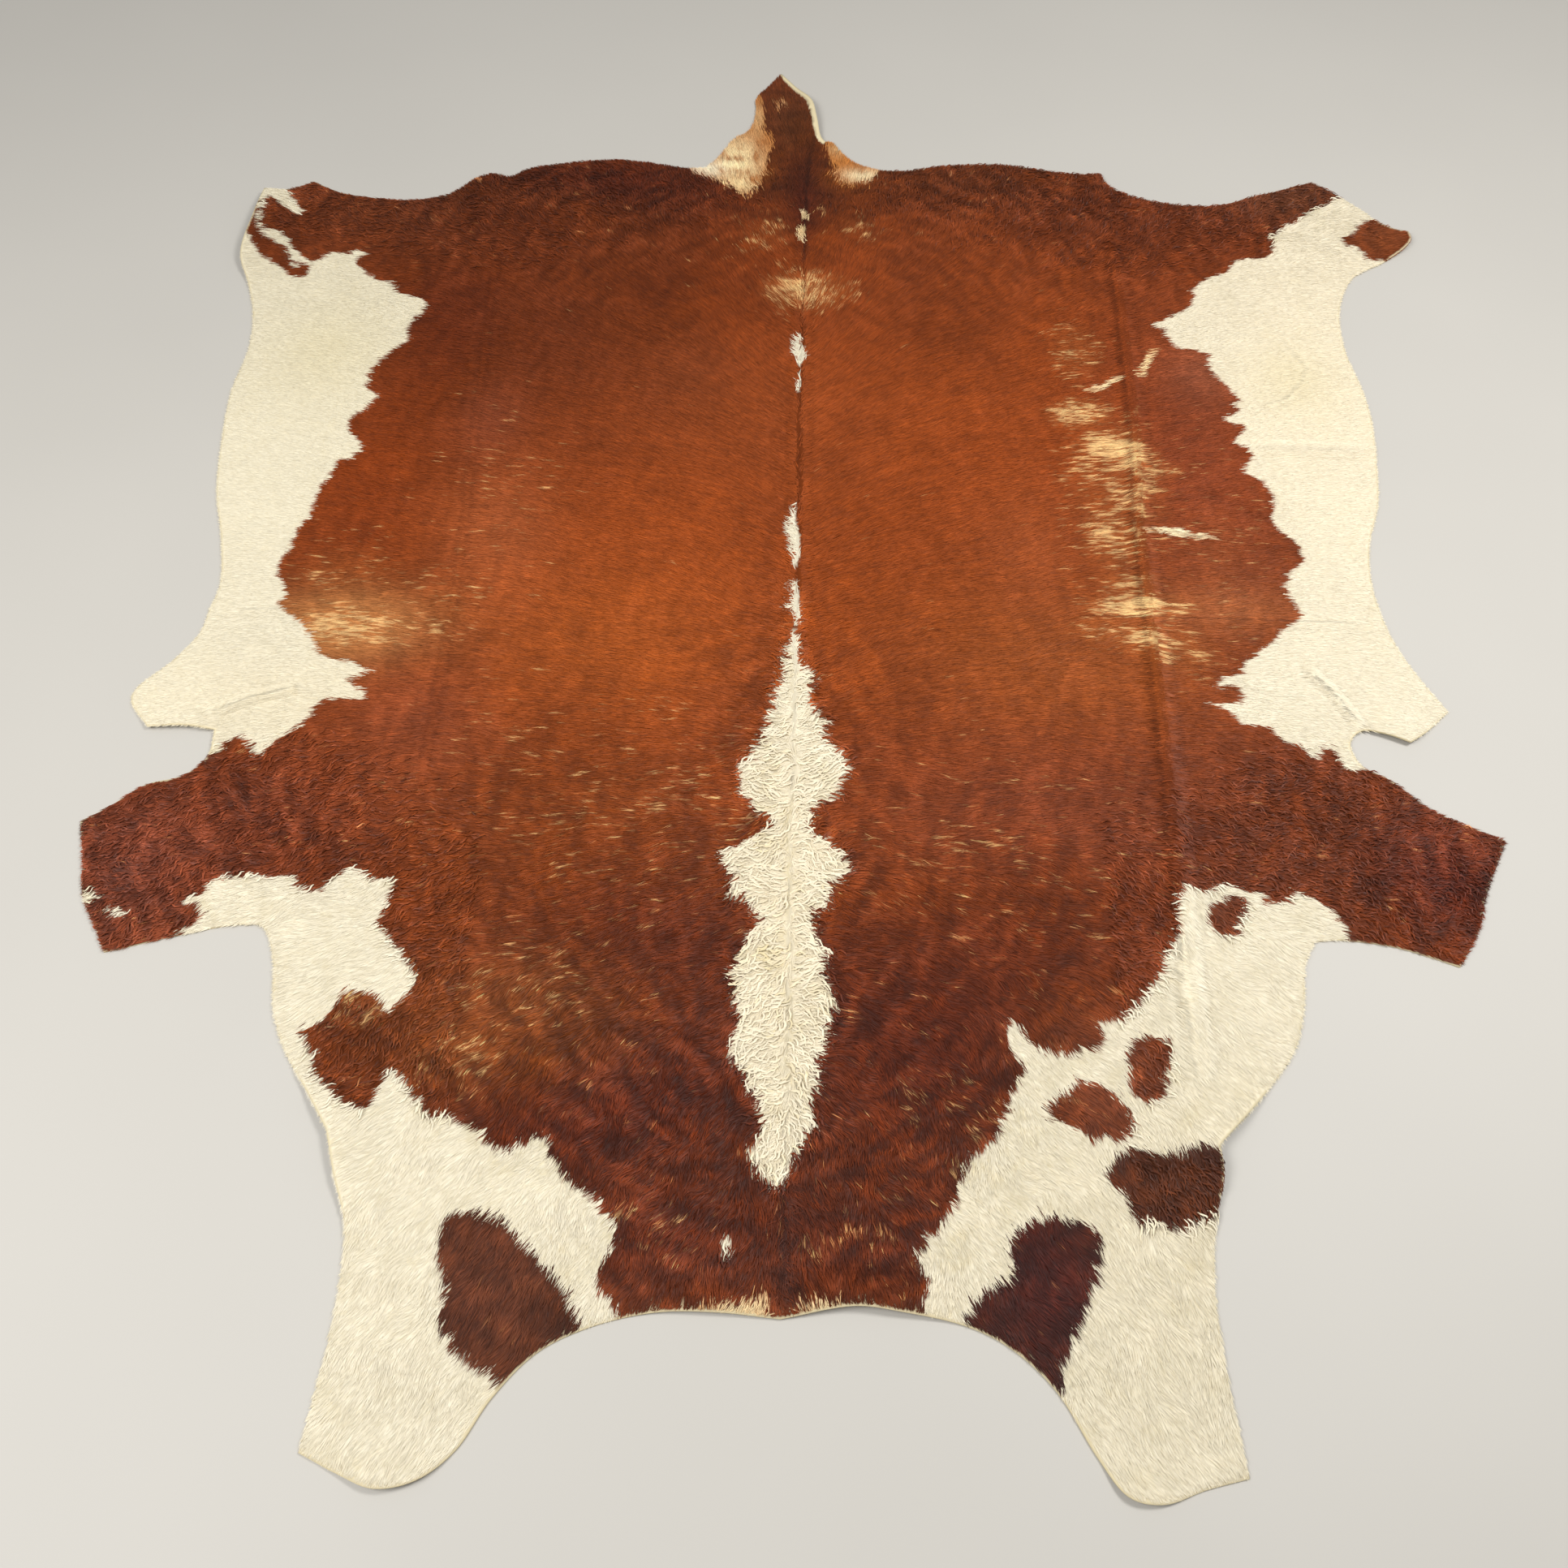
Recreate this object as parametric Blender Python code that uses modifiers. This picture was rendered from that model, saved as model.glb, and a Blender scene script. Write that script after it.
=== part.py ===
"""Whole cowhide laid flat, hair side up: one uneven sheet of hair-on leather."""
import bpy
import numpy as np
from mathutils import Vector
from mathutils.geometry import delaunay_2d_cdt

CM = 0.01
MM = 0.001

# Driving dimensions, in metres.
SHEET_THICKNESS = 3.0 * MM
EDGE_STEP = 24.0 * MM
FIELD_STEP = 52.0 * MM
FOLD_STEP = 34.0 * MM
EDGE_CLEARANCE = 0.62
FOLD_CLEARANCE = 0.70
FOLD_ROW_OFFSETS = (-1.0, -0.5, 0.0, 0.5, 1.0)
FOLD_TO_EDGE = 0.4
FOLD_END_TAPER = 8.0
FOLD_END_HEIGHT = 0.35
CURVE_SAMPLES = 24
MERGE_TOLERANCE = 0.00005
NODE_NAME = "hide"
HIDE_BROWN = (0.22, 0.07, 0.025, 1.0)
HAIR_ROUGHNESS = 0.7

# The cut edge, clockwise from the tail tip. Each row is one stretch between two
# corners: its name, then stations (x to the right, y towards the tail, in cm).
# A stretch ends at the first station of the next one.
EDGE_STRETCHES = (
    ("tail_right", ((-10.0, 135.8), (-6.5, 130.8), (-3.5, 125.5), (-2.4, 120.0), (-1.4, 114.2))),
    ("tail_root_right", ((-0.6, 113.1), (0.9, 113.0), (2.7, 110.2), (5.2, 107.2), (10.0, 105.0))),
    ("rump_right", ((16.0, 104.6), (21.0, 105.9), (30.0, 106.9), (37.0, 106.7), (45.0, 105.0),
                    (50.0, 104.3))),
    ("thigh_right", ((54.6, 104.5), (55.7, 101.2), (60.0, 98.1), (66.0, 96.0), (76.5, 95.3),
                     (84.5, 98.2), (91.0, 100.6))),
    ("hind_shank_right", ((96.7, 102.8), (100.2, 99.9), (104.8, 95.2), (107.6, 91.6), (110.6, 88.5))),
    ("hock_right", ((112.8, 87.6), (112.9, 85.6), (111.6, 83.6))),
    ("flank_right", ((106.7, 79.7), (100.4, 75.6), (97.4, 70.5), (95.6, 64.0), (95.3, 55.0),
                     (96.6, 46.0), (96.9, 38.0), (96.0, 29.0), (94.4, 19.0), (91.3, 10.0),
                     (90.2, 1.0), (91.4, -9.0), (94.2, -16.5))),
    ("elbow_flap_right", ((97.5, -22.9), (93.2, -26.9))),
    ("elbow_notch_right", ((90.3, -29.0), (86.6, -27.5), (83.4, -26.8), (81.2, -29.0),
                           (82.2, -33.0), (86.0, -35.4), (91.5, -40.6))),
    ("fore_shank_right", ((101.2, -45.5), (98.9, -49.6), (96.2, -54.8), (94.2, -59.8))),
    ("fore_cut_right", ((90.2, -65.8), (86.2, -64.3), (81.2, -62.8), (74.0, -62.0))),
    ("chest_right", ((70.3, -62.3), (68.3, -66.0), (67.3, -71.5), (65.0, -78.3), (60.3, -84.3))),
    ("neck_side_right", ((52.4, -92.3), (52.6, -95.6), (50.9, -102.5), (49.8, -111.0),
                         (50.1, -121.0))),
    ("cheek_right", ((51.2, -131.7), (46.0, -133.0), (40.6, -134.7), (36.6, -134.0),
                     (33.4, -129.8), (29.0, -122.5), (24.0, -117.9), (18.5, -115.3),
                     (10.0, -113.8), (4.5, -113.3))),
    ("poll_cut", ((-4.8, -114.9), (-13.0, -114.3), (-21.0, -114.5), (-29.0, -116.5),
                  (-35.0, -119.6), (-39.8, -124.8), (-43.4, -130.6), (-47.5, -133.9),
                  (-52.3, -134.9), (-57.0, -133.4))),
    ("neck_side_left", ((-62.1, -131.2), (-61.2, -124.5), (-60.5, -114.0), (-61.0, -105.0),
                        (-63.4, -98.4))),
    ("chest_left", ((-65.4, -92.4), (-69.0, -87.4), (-73.4, -81.4), (-76.2, -75.4),
                    (-77.8, -67.6), (-80.2, -63.0), (-83.5, -62.7), (-91.0, -64.3))),
    ("fore_cut_left", ((-102.0, -67.4), (-104.2, -63.6), (-107.3, -58.8), (-108.9, -52.6))),
    ("fore_shank_left", ((-110.9, -46.5), (-107.6, -44.2), (-102.6, -40.0), (-97.4, -38.3),
                         (-94.4, -35.0))),
    ("elbow_notch_left", ((-94.2, -30.2), (-98.5, -29.7))),
    ("elbow_flap_left", ((-104.8, -29.9), (-108.8, -24.0), (-103.6, -16.8), (-100.8, -11.6))),
    ("flank_left", ((-100.3, -7.4), (-99.7, -2.0), (-101.6, 7.8), (-104.6, 18.0),
                    (-106.3, 30.0), (-107.1, 42.0), (-106.2, 52.0), (-107.2, 61.0),
                    (-109.8, 69.4), (-112.3, 76.0), (-111.8, 86.0))),
    ("hock_left", ((-111.7, 95.4), (-107.4, 96.0))),
    ("hind_shank_left", ((-102.8, 99.1), (-97.5, 96.1), (-90.0, 94.4), (-82.0, 93.9),
                         (-75.2, 95.8), (-70.0, 101.0), (-66.9, 102.2), (-63.9, 101.1),
                         (-60.5, 103.6), (-53.0, 105.6), (-43.5, 106.9), (-36.5, 106.2),
                         (-29.0, 104.7))),
    ("tail_root_left", ((-24.6, 104.8), (-21.8, 108.6), (-19.2, 114.0), (-16.2, 116.6),
                        (-15.0, 121.0), (-14.9, 127.5), (-12.3, 131.6))),
)

# Storage folds and creases that stand up from the sheet: name, stations (x, y in
# cm), half width in mm, height in mm.
RAISED_FOLDS = (
    ("storage_ridge", ((54.9, 103.0), (55.2, 70.0), (54.7, 35.0), (53.3, 14.0),
                       (52.7, -25.0), (51.6, -70.0), (51.9, -91.0)), 20.0, 6.0),
    ("spine_line", ((-4.2, 110.0), (-4.6, 50.0), (-4.4, 5.0), (-4.9, -60.0),
                    (-4.8, -113.5)), 16.0, 3.0),
    ("left_crease", ((-64.8, 98.0), (-63.4, 55.0), (-61.2, 0.0), (-61.5, -50.0)), 18.0, 2.0),
    ("cross_crease_right", ((40.0, -5.6), (66.0, -5.8), (90.0, -6.4)), 18.0, 2.5),
    ("cross_crease_left", ((-62.0, -8.2), (-82.0, -6.6), (-99.0, -7.4)), 18.0, 2.5),
    ("flank_crease_right", ((74.0, 31.6), (95.0, 31.0)), 22.0, 4.0),
    ("rib_crease_right", ((54.0, 13.5), (66.0, 11.2)), 12.0, 3.0),
    ("elbow_crease_right", ((77.0, -15.6), (83.6, -26.4)), 13.0, 6.0),
    ("elbow_crease_left", ((-96.6, -27.6), (-90.0, -24.2), (-82.6, -21.8)), 14.0, 5.0),
)

# Places where the dried edge stands off the floor: name, middle (x, y in cm),
# reach along x and y in cm, height in mm.
LIFTED_PLACES = (
    ("hind_left_edge", -113.0, 85.0, 12.0, 20.0, 24.0),
    ("hind_right_tip", 114.0, 86.0, 10.0, 9.0, 10.0),
    ("tail_right_edge", -1.8, 123.0, 7.0, 15.0, 16.0),
    ("ridge_end", 53.5, -92.0, 13.0, 12.0, 18.0),
    ("throat_edge_left", -66.0, -95.0, 10.0, 17.0, 14.0),
    ("poll_edge_right", 6.0, -115.0, 13.0, 8.0, 14.0),
    ("poll_edge_left", -14.0, -116.0, 11.0, 6.0, 7.0),
    ("cheek_tip_left", -50.0, -137.0, 12.0, 8.0, 11.0),
    ("cheek_tip_right", 37.0, -137.0, 9.0, 8.0, 10.0),
    ("elbow_flap_right", 88.0, -29.0, 9.0, 8.0, 9.0),
    ("elbow_flap_left", -100.0, -31.0, 10.0, 7.0, 9.0),
    ("pouch_mark_right", 85.5, 50.0, 7.0, 9.0, 5.0),
    ("pouch_mark_left", -94.0, 53.0, 8.0, 10.0, 5.0),
    ("thigh_swell_left", -56.0, 92.0, 16.0, 10.0, 4.0),
)


def clear_scene():
    """Remove every object so that the part stands alone."""
    for old in list(bpy.data.objects):
        bpy.data.objects.remove(old, do_unlink=True)


def smooth_stretch(stations, step):
    """Points at even spacing on a centripetal curve through the stations, last one left out."""
    pts = np.array(stations, dtype=float)
    before = 2.0 * pts[0] - pts[1]
    after = 2.0 * pts[-1] - pts[-2]
    ctrl = np.vstack((before, pts, after))
    fine = []
    for i in range(1, len(ctrl) - 2):
        p0, p1, p2, p3 = ctrl[i - 1:i + 3]
        t0 = 0.0
        t1 = t0 + np.sqrt(np.linalg.norm(p1 - p0))
        t2 = t1 + np.sqrt(np.linalg.norm(p2 - p1))
        t3 = t2 + np.sqrt(np.linalg.norm(p3 - p2))
        for t in np.linspace(t1, t2, CURVE_SAMPLES, endpoint=False):
            a1 = (t1 - t) / (t1 - t0) * p0 + (t - t0) / (t1 - t0) * p1
            a2 = (t2 - t) / (t2 - t1) * p1 + (t - t1) / (t2 - t1) * p2
            a3 = (t3 - t) / (t3 - t2) * p2 + (t - t2) / (t3 - t2) * p3
            b1 = (t2 - t) / (t2 - t0) * a1 + (t - t0) / (t2 - t0) * a2
            b2 = (t3 - t) / (t3 - t1) * a2 + (t - t1) / (t3 - t1) * a3
            fine.append((t2 - t) / (t2 - t1) * b1 + (t - t1) / (t2 - t1) * b2)
    fine.append(pts[-1])
    fine = np.array(fine)
    run = np.concatenate(((0.0,), np.cumsum(np.linalg.norm(np.diff(fine, axis=0), axis=1))))
    count = max(1, int(round(run[-1] / step)))
    along = np.linspace(0.0, run[-1], count + 1)[:-1]
    return np.column_stack((np.interp(along, run, fine[:, 0]), np.interp(along, run, fine[:, 1])))


def cut_edge():
    """The closed outline as evenly spaced points, in metres, before centring."""
    parts = []
    for i, (_, stations) in enumerate(EDGE_STRETCHES):
        closing = EDGE_STRETCHES[(i + 1) % len(EDGE_STRETCHES)][1][0]
        parts.append(smooth_stretch(stations + (closing,), EDGE_STEP / CM))
    return np.vstack(parts) * CM


def distance_to_path(points, path):
    """Shortest distance from each point to a polyline, and how far along it that is (0 to 1)."""
    best = np.full(len(points), np.inf)
    place = np.zeros(len(points))
    lengths = np.linalg.norm(np.diff(path, axis=0), axis=1)
    starts = np.concatenate(((0.0,), np.cumsum(lengths)))
    for i, length in enumerate(lengths):
        leg = path[i + 1] - path[i]
        t = np.clip(((points - path[i]) @ leg) / length ** 2, 0.0, 1.0)
        gap = np.linalg.norm(points - path[i] - t[:, None] * leg, axis=1)
        closer = gap < best
        best[closer] = gap[closer]
        place[closer] = (starts[i] + t[closer] * length) / starts[-1]
    return best, place


def stand_off(points, middle):
    """Height of the underside above the floor: folds, creases and lifted edges."""
    height = np.zeros(len(points))
    for _, stations, half_width, rise in RAISED_FOLDS:
        path = np.array(stations) * CM - middle
        gap, place = distance_to_path(points, path)
        across = np.clip(1.0 - (gap / (half_width * MM)) ** 2, 0.0, 1.0)
        to_end = np.minimum(place, 1.0 - place)
        ends = np.clip(FOLD_END_TAPER * to_end + FOLD_END_HEIGHT, 0.0, 1.0)
        height = np.maximum(height, rise * MM * across * ends)
    for _, x, y, reach_x, reach_y, rise in LIFTED_PLACES:
        off = (points - (np.array((x, y)) * CM - middle)) / (np.array((reach_x, reach_y)) * CM)
        swell = np.clip(1.0 - np.sum(off ** 2, axis=1), 0.0, 1.0) ** 2
        height = np.maximum(height, rise * MM * swell)
    return height


def fold_rows(middle):
    """Points on and beside each raised fold, so that its section is kept."""
    rows = []
    for _, stations, half_width, _ in RAISED_FOLDS:
        path = np.array(stations) * CM - middle
        line = smooth_stretch(path, FOLD_STEP)
        ahead = np.gradient(line, axis=0)
        ahead /= np.linalg.norm(ahead, axis=1)[:, None]
        side = np.column_stack((-ahead[:, 1], ahead[:, 0]))
        for share in FOLD_ROW_OFFSETS:
            rows.append(line + side * share * half_width * MM)
    return np.vstack(rows)


def inside(points, ring):
    """Which points lie inside the closed ring, by counting edge crossings."""
    hit = np.zeros(len(points), dtype=bool)
    x, y = points[:, 0], points[:, 1]
    for a, b in zip(ring, np.roll(ring, -1, axis=0)):
        straddles = (a[1] > y) != (b[1] > y)
        if straddles.any():
            cross = (b[0] - a[0]) * (y[straddles] - a[1]) / (b[1] - a[1]) + a[0]
            hit[straddles] ^= x[straddles] < cross
    return hit


def keep_clear(points, others, gap):
    """Points that lie at least the gap away from all the others."""
    apart = np.linalg.norm(points[:, None, :] - others[None, :, :], axis=2).min(axis=1)
    return points[apart > gap]


def field_points(ring, rows):
    """A staggered field of points over the hide, clear of its edge and folds."""
    low, high = ring.min(axis=0), ring.max(axis=0)
    row_step = FIELD_STEP * np.sqrt(3.0) / 2.0
    pts = []
    for j, y in enumerate(np.arange(low[1], high[1], row_step)):
        start = low[0] + (0.5 * FIELD_STEP if j % 2 else 0.0)
        for x in np.arange(start, high[0], FIELD_STEP):
            pts.append((x, y))
    pts = np.array(pts)
    pts = pts[inside(pts, ring)]
    pts = keep_clear(pts, ring, EDGE_CLEARANCE * EDGE_STEP)
    return keep_clear(pts, rows, FOLD_CLEARANCE * FOLD_STEP)


def hide_material():
    """One plain brown for hair-on leather."""
    mat = bpy.data.materials.new("hair_on_hide")
    mat.use_nodes = True
    shader = mat.node_tree.nodes["Principled BSDF"]
    shader.inputs["Base Color"].default_value = HIDE_BROWN
    shader.inputs["Roughness"].default_value = HAIR_ROUGHNESS
    return mat


def build_hide():
    """The hide as one sheet: outline and folds meshed together, then thickened upwards."""
    ring = cut_edge()
    middle = 0.5 * (ring.min(axis=0) + ring.max(axis=0))
    ring = ring - middle
    rows = fold_rows(middle)
    rows = rows[inside(rows, ring)]
    rows = keep_clear(rows, ring, FOLD_TO_EDGE * EDGE_STEP)
    flat = np.vstack((ring, rows, field_points(ring, rows)))
    count = len(ring)
    edge_pairs = [(i, (i + 1) % count) for i in range(count)]
    verts, _, faces, _, _, _ = delaunay_2d_cdt(
        [Vector(p) for p in flat], edge_pairs, [], 0, MERGE_TOLERANCE, False)
    spots = np.array([tuple(v) for v in verts])
    within = inside(spots[np.array(faces)].mean(axis=1), ring)
    faces = [face for face, kept in zip(faces, within) if kept]
    heights = stand_off(spots, middle)
    mesh = bpy.data.meshes.new(NODE_NAME)
    mesh.from_pydata([(p[0], p[1], h) for p, h in zip(spots, heights)], [], faces)
    mesh.update()
    mesh.materials.append(hide_material())
    hide = bpy.data.objects.new(NODE_NAME, mesh)
    thicken = hide.modifiers.new("sheet", "SOLIDIFY")
    thicken.thickness = SHEET_THICKNESS
    thicken.offset = 1.0
    return hide


clear_scene()
collection = bpy.data.collections.new("cowhide")
bpy.context.scene.collection.children.link(collection)
collection.objects.link(build_hide())
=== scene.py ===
import bpy
import numpy as np
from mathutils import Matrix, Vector
from mathutils.geometry import delaunay_2d_cdt


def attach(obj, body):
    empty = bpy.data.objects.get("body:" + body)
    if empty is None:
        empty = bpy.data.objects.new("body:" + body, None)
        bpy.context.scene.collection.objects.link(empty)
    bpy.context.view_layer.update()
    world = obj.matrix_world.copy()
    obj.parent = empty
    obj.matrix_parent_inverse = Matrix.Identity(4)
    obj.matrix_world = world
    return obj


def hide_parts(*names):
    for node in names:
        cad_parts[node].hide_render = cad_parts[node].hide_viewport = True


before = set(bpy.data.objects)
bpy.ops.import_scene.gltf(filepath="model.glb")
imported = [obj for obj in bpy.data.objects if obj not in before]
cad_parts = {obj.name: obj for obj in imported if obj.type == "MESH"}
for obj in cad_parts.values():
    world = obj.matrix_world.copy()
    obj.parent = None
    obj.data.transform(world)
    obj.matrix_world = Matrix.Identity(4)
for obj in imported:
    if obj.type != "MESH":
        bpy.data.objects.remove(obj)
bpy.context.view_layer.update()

cm = 0.01
mm = 0.001
spineX = -4.6     # cm, where the hair parts
partStep = 24     # mm between the outline's points in the part's own source
curveSteps = 24   # points worked out on each leg of a smooth line
noiseCells = 256  # the random values repeat after this many cells

# The cut edge, clockwise from the tail tip, in cm: x to the right, y towards the tail.
# Each stretch runs between two corners and ends where the next one starts.
# bare: mm of plain leather between the hair and the edge.
cutEdge = {
    "tailRight": dict(bare=13, at=((-10, 135.8), (-6.5, 130.8), (-3.5, 125.5), (-2.4, 120), (-1.4, 114.2))),
    "tailRootRight": dict(bare=1, at=((-0.6, 113.1), (0.9, 113), (2.7, 110.2), (5.2, 107.2), (10, 105))),
    "rumpRight": dict(bare=0, at=(
        (16, 104.6), (21, 105.9), (30, 106.9), (37, 106.7), (45, 105), (50, 104.3))),
    "thighRight": dict(bare=0, at=(
        (54.6, 104.5), (55.7, 101.2), (60, 98.1), (66, 96), (76.5, 95.3), (84.5, 98.2), (91, 100.6))),
    "hindShankRight": dict(bare=0, at=(
        (96.7, 102.8), (100.2, 99.9), (104.8, 95.2), (107.6, 91.6), (110.6, 88.5))),
    "hockRight": dict(bare=0, at=((112.8, 87.6), (112.9, 85.6), (111.6, 83.6))),
    "flankRight": dict(bare=0, at=(
        (106.7, 79.7), (100.4, 75.6), (97.4, 70.5), (95.6, 64), (95.3, 55), (96.6, 46), (96.9, 38),
        (96, 29), (94.4, 19), (91.3, 10), (90.2, 1), (91.4, -9), (94.2, -16.5))),
    "elbowFlapRight": dict(bare=1, at=((97.5, -22.9), (93.2, -26.9))),
    "elbowNotchRight": dict(bare=1, at=(
        (90.3, -29), (86.6, -27.5), (83.4, -26.8), (81.2, -29), (82.2, -33), (86, -35.4), (91.5, -40.6))),
    "foreShankRight": dict(bare=0, at=((101.2, -45.5), (98.9, -49.6), (96.2, -54.8), (94.2, -59.8))),
    "foreCutRight": dict(bare=1.5, at=((90.2, -65.8), (86.2, -64.3), (81.2, -62.8), (74, -62))),
    "chestRight": dict(bare=0, at=((70.3, -62.3), (68.3, -66), (67.3, -71.5), (65, -78.3), (60.3, -84.3))),
    "neckSideRight": dict(bare=0.5, at=(
        (52.4, -92.3), (52.6, -95.6), (50.9, -102.5), (49.8, -111), (50.1, -121))),
    "cheekRight": dict(bare=3.5, at=(
        (51.2, -131.7), (46, -133), (40.6, -134.7), (36.6, -134), (33.4, -129.8), (29, -122.5),
        (24, -117.9), (18.5, -115.3), (10, -113.8), (4.5, -113.3))),
    "pollCut": dict(bare=3.5, at=(
        (-4.8, -114.9), (-13, -114.3), (-21, -114.5), (-29, -116.5), (-35, -119.6), (-39.8, -124.8),
        (-43.4, -130.6), (-47.5, -133.9), (-52.3, -134.9), (-57, -133.4))),
    "neckSideLeft": dict(bare=0, at=(
        (-62.1, -131.2), (-61.2, -124.5), (-60.5, -114), (-61, -105), (-63.4, -98.4))),
    "chestLeft": dict(bare=0, at=(
        (-65.4, -92.4), (-69, -87.4), (-73.4, -81.4), (-76.2, -75.4), (-77.8, -67.6), (-80.2, -63),
        (-83.5, -62.7), (-91, -64.3))),
    "foreCutLeft": dict(bare=0.5, at=((-102, -67.4), (-104.2, -63.6), (-107.3, -58.8), (-108.9, -52.6))),
    "foreShankLeft": dict(bare=1, at=(
        (-110.9, -46.5), (-107.6, -44.2), (-102.6, -40), (-97.4, -38.3), (-94.4, -35))),
    "elbowNotchLeft": dict(bare=0, at=((-94.2, -30.2), (-98.5, -29.7))),
    "elbowFlapLeft": dict(bare=0.5, at=((-104.8, -29.9), (-108.8, -24), (-103.6, -16.8), (-100.8, -11.6))),
    "flankLeft": dict(bare=0, at=(
        (-100.3, -7.4), (-99.7, -2), (-101.6, 7.8), (-104.6, 18), (-106.3, 30), (-107.1, 42), (-106.2, 52),
        (-107.2, 61), (-109.8, 69.4), (-112.3, 76), (-111.8, 86))),
    "hockLeft": dict(bare=0, at=((-111.7, 95.4), (-107.4, 96))),
    "hindShankLeft": dict(bare=0, at=(
        (-102.8, 99.1), (-97.5, 96.1), (-90, 94.4), (-82, 93.9), (-75.2, 95.8), (-70, 101), (-66.9, 102.2),
        (-63.9, 101.1), (-60.5, 103.6), (-53, 105.6), (-43.5, 106.9), (-36.5, 106.2), (-29, 104.7))),
    "tailRootLeft": dict(bare=0, at=(
        (-24.6, 104.8), (-21.8, 108.6), (-19.2, 114), (-16.2, 116.6), (-15, 121), (-14.9, 127.5),
        (-12.3, 131.6))),
}

# Storage folds and creases that stand up from the sheet: path in cm, half width and
# height in mm (0: a shaded line only); then the light and shade painted into its hair: width of
# the line in mm, brightness added on the crest and on both flanks (above 0 painted highlight, below 0
# painted shade).
raisedFolds = {
    "storageRidge": dict(half=20, high=6, line=2.3, crest=0.34, flank=-0.14, at=(
        (54.9, 103), (55.2, 70), (54.7, 35), (53.3, 14), (52.7, -25), (51.6, -70), (51.9, -91))),
    "storageShadow": dict(half=8, high=0, line=2.6, crest=-0.42, flank=0.0, at=(
        (54.3, 103), (54.6, 70), (54.1, 35), (52.7, 14), (52.1, -25), (51, -70), (51.3, -91))),
    "spineLine": dict(half=16, high=3, line=2.0, crest=-0.45, flank=0.0, at=(
        (-4.2, 110), (-4.6, 50), (-4.4, 5), (-4.9, -60), (-4.8, -113.5))),
    "tailGroove": dict(half=16, high=0, line=5.0, crest=-0.5, flank=0.0, at=(
        (-2.4, 117), (-3.6, 108), (-4.2, 98), (-4.4, 76))),
    "neckParting": dict(half=8, high=0, line=9.0, crest=-0.5, flank=0.0, at=(
        (-4.7, -99), (-4.5, -106), (-4.8, -113.6))),
    "leftCrease": dict(half=18, high=2, line=3.0, crest=0.12, flank=-0.2, at=(
        (-64.8, 98), (-63.4, 55), (-61.2, 0), (-61.5, -50))),
    "crossCreaseRight": dict(half=18, high=2.5, line=1.8, crest=-0.35, flank=0.08, at=(
        (40, -5.6), (66, -5.8), (90, -6.4))),
    "crossCreaseLeft": dict(half=18, high=2.5, line=1.8, crest=-0.2, flank=0.05, at=(
        (-62, -8.2), (-82, -6.6), (-99, -7.4))),
    "flankCreaseRight": dict(half=22, high=4, line=7.0, crest=-0.12, flank=0.04, at=((74, 31.6), (95, 31))),
    "ribCreaseRight": dict(half=12, high=3, line=1.8, crest=0.1, flank=-0.2, at=((54, 13.5), (66, 11.2))),
    "elbowCreaseRight": dict(half=13, high=6, line=2.0, crest=-0.9, flank=0.04, at=(
        (77, -15.6), (80.6, -20.4), (83.6, -26.4))),
    "elbowCreaseLeft": dict(half=14, high=5, line=1.7, crest=-0.4, flank=0.04, at=(
        (-96.6, -27.6), (-90, -24.2), (-82.6, -21.8))),
    "pouchLineRight": dict(half=8, high=1.5, line=2.2, crest=-0.3, flank=0.03, at=(
        (84.8, 58.5), (86.4, 54), (87.7, 50.9), (86.2, 47.1), (82.9, 43.4), (78.2, 41.4))),
}

# Places where the dried edge stands off the floor: middle and reach in cm, height in mm.
liftedPlaces = {
    "hindLeftEdge": (-113, 85, 12, 20, 24),
    "hindRightTip": (114, 86, 10, 9, 10),
    "tailRightEdge": (-1.8, 123, 7, 15, 16),
    "ridgeEnd": (53.5, -92, 13, 12, 18),
    "throatEdgeLeft": (-66, -95, 10, 17, 14),
    "pollEdgeRight": (6, -115, 13, 8, 14),
    "pollEdgeLeft": (-14, -116, 11, 6, 7),
    "cheekTipLeft": (-50, -137, 12, 8, 11),
    "cheekTipRight": (37, -137, 9, 8, 10),
    "elbowFlapRight": (88, -29, 9, 8, 9),
    "elbowFlapLeft": (-100, -31, 10, 7, 9),
    "pouchMarkRight": (85.5, 50, 7, 9, 5),
    "pouchMarkLeft": (-94, 53, 8, 10, 5),
    "thighSwellLeft": (-56, 92, 16, 10, 4),
}

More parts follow.
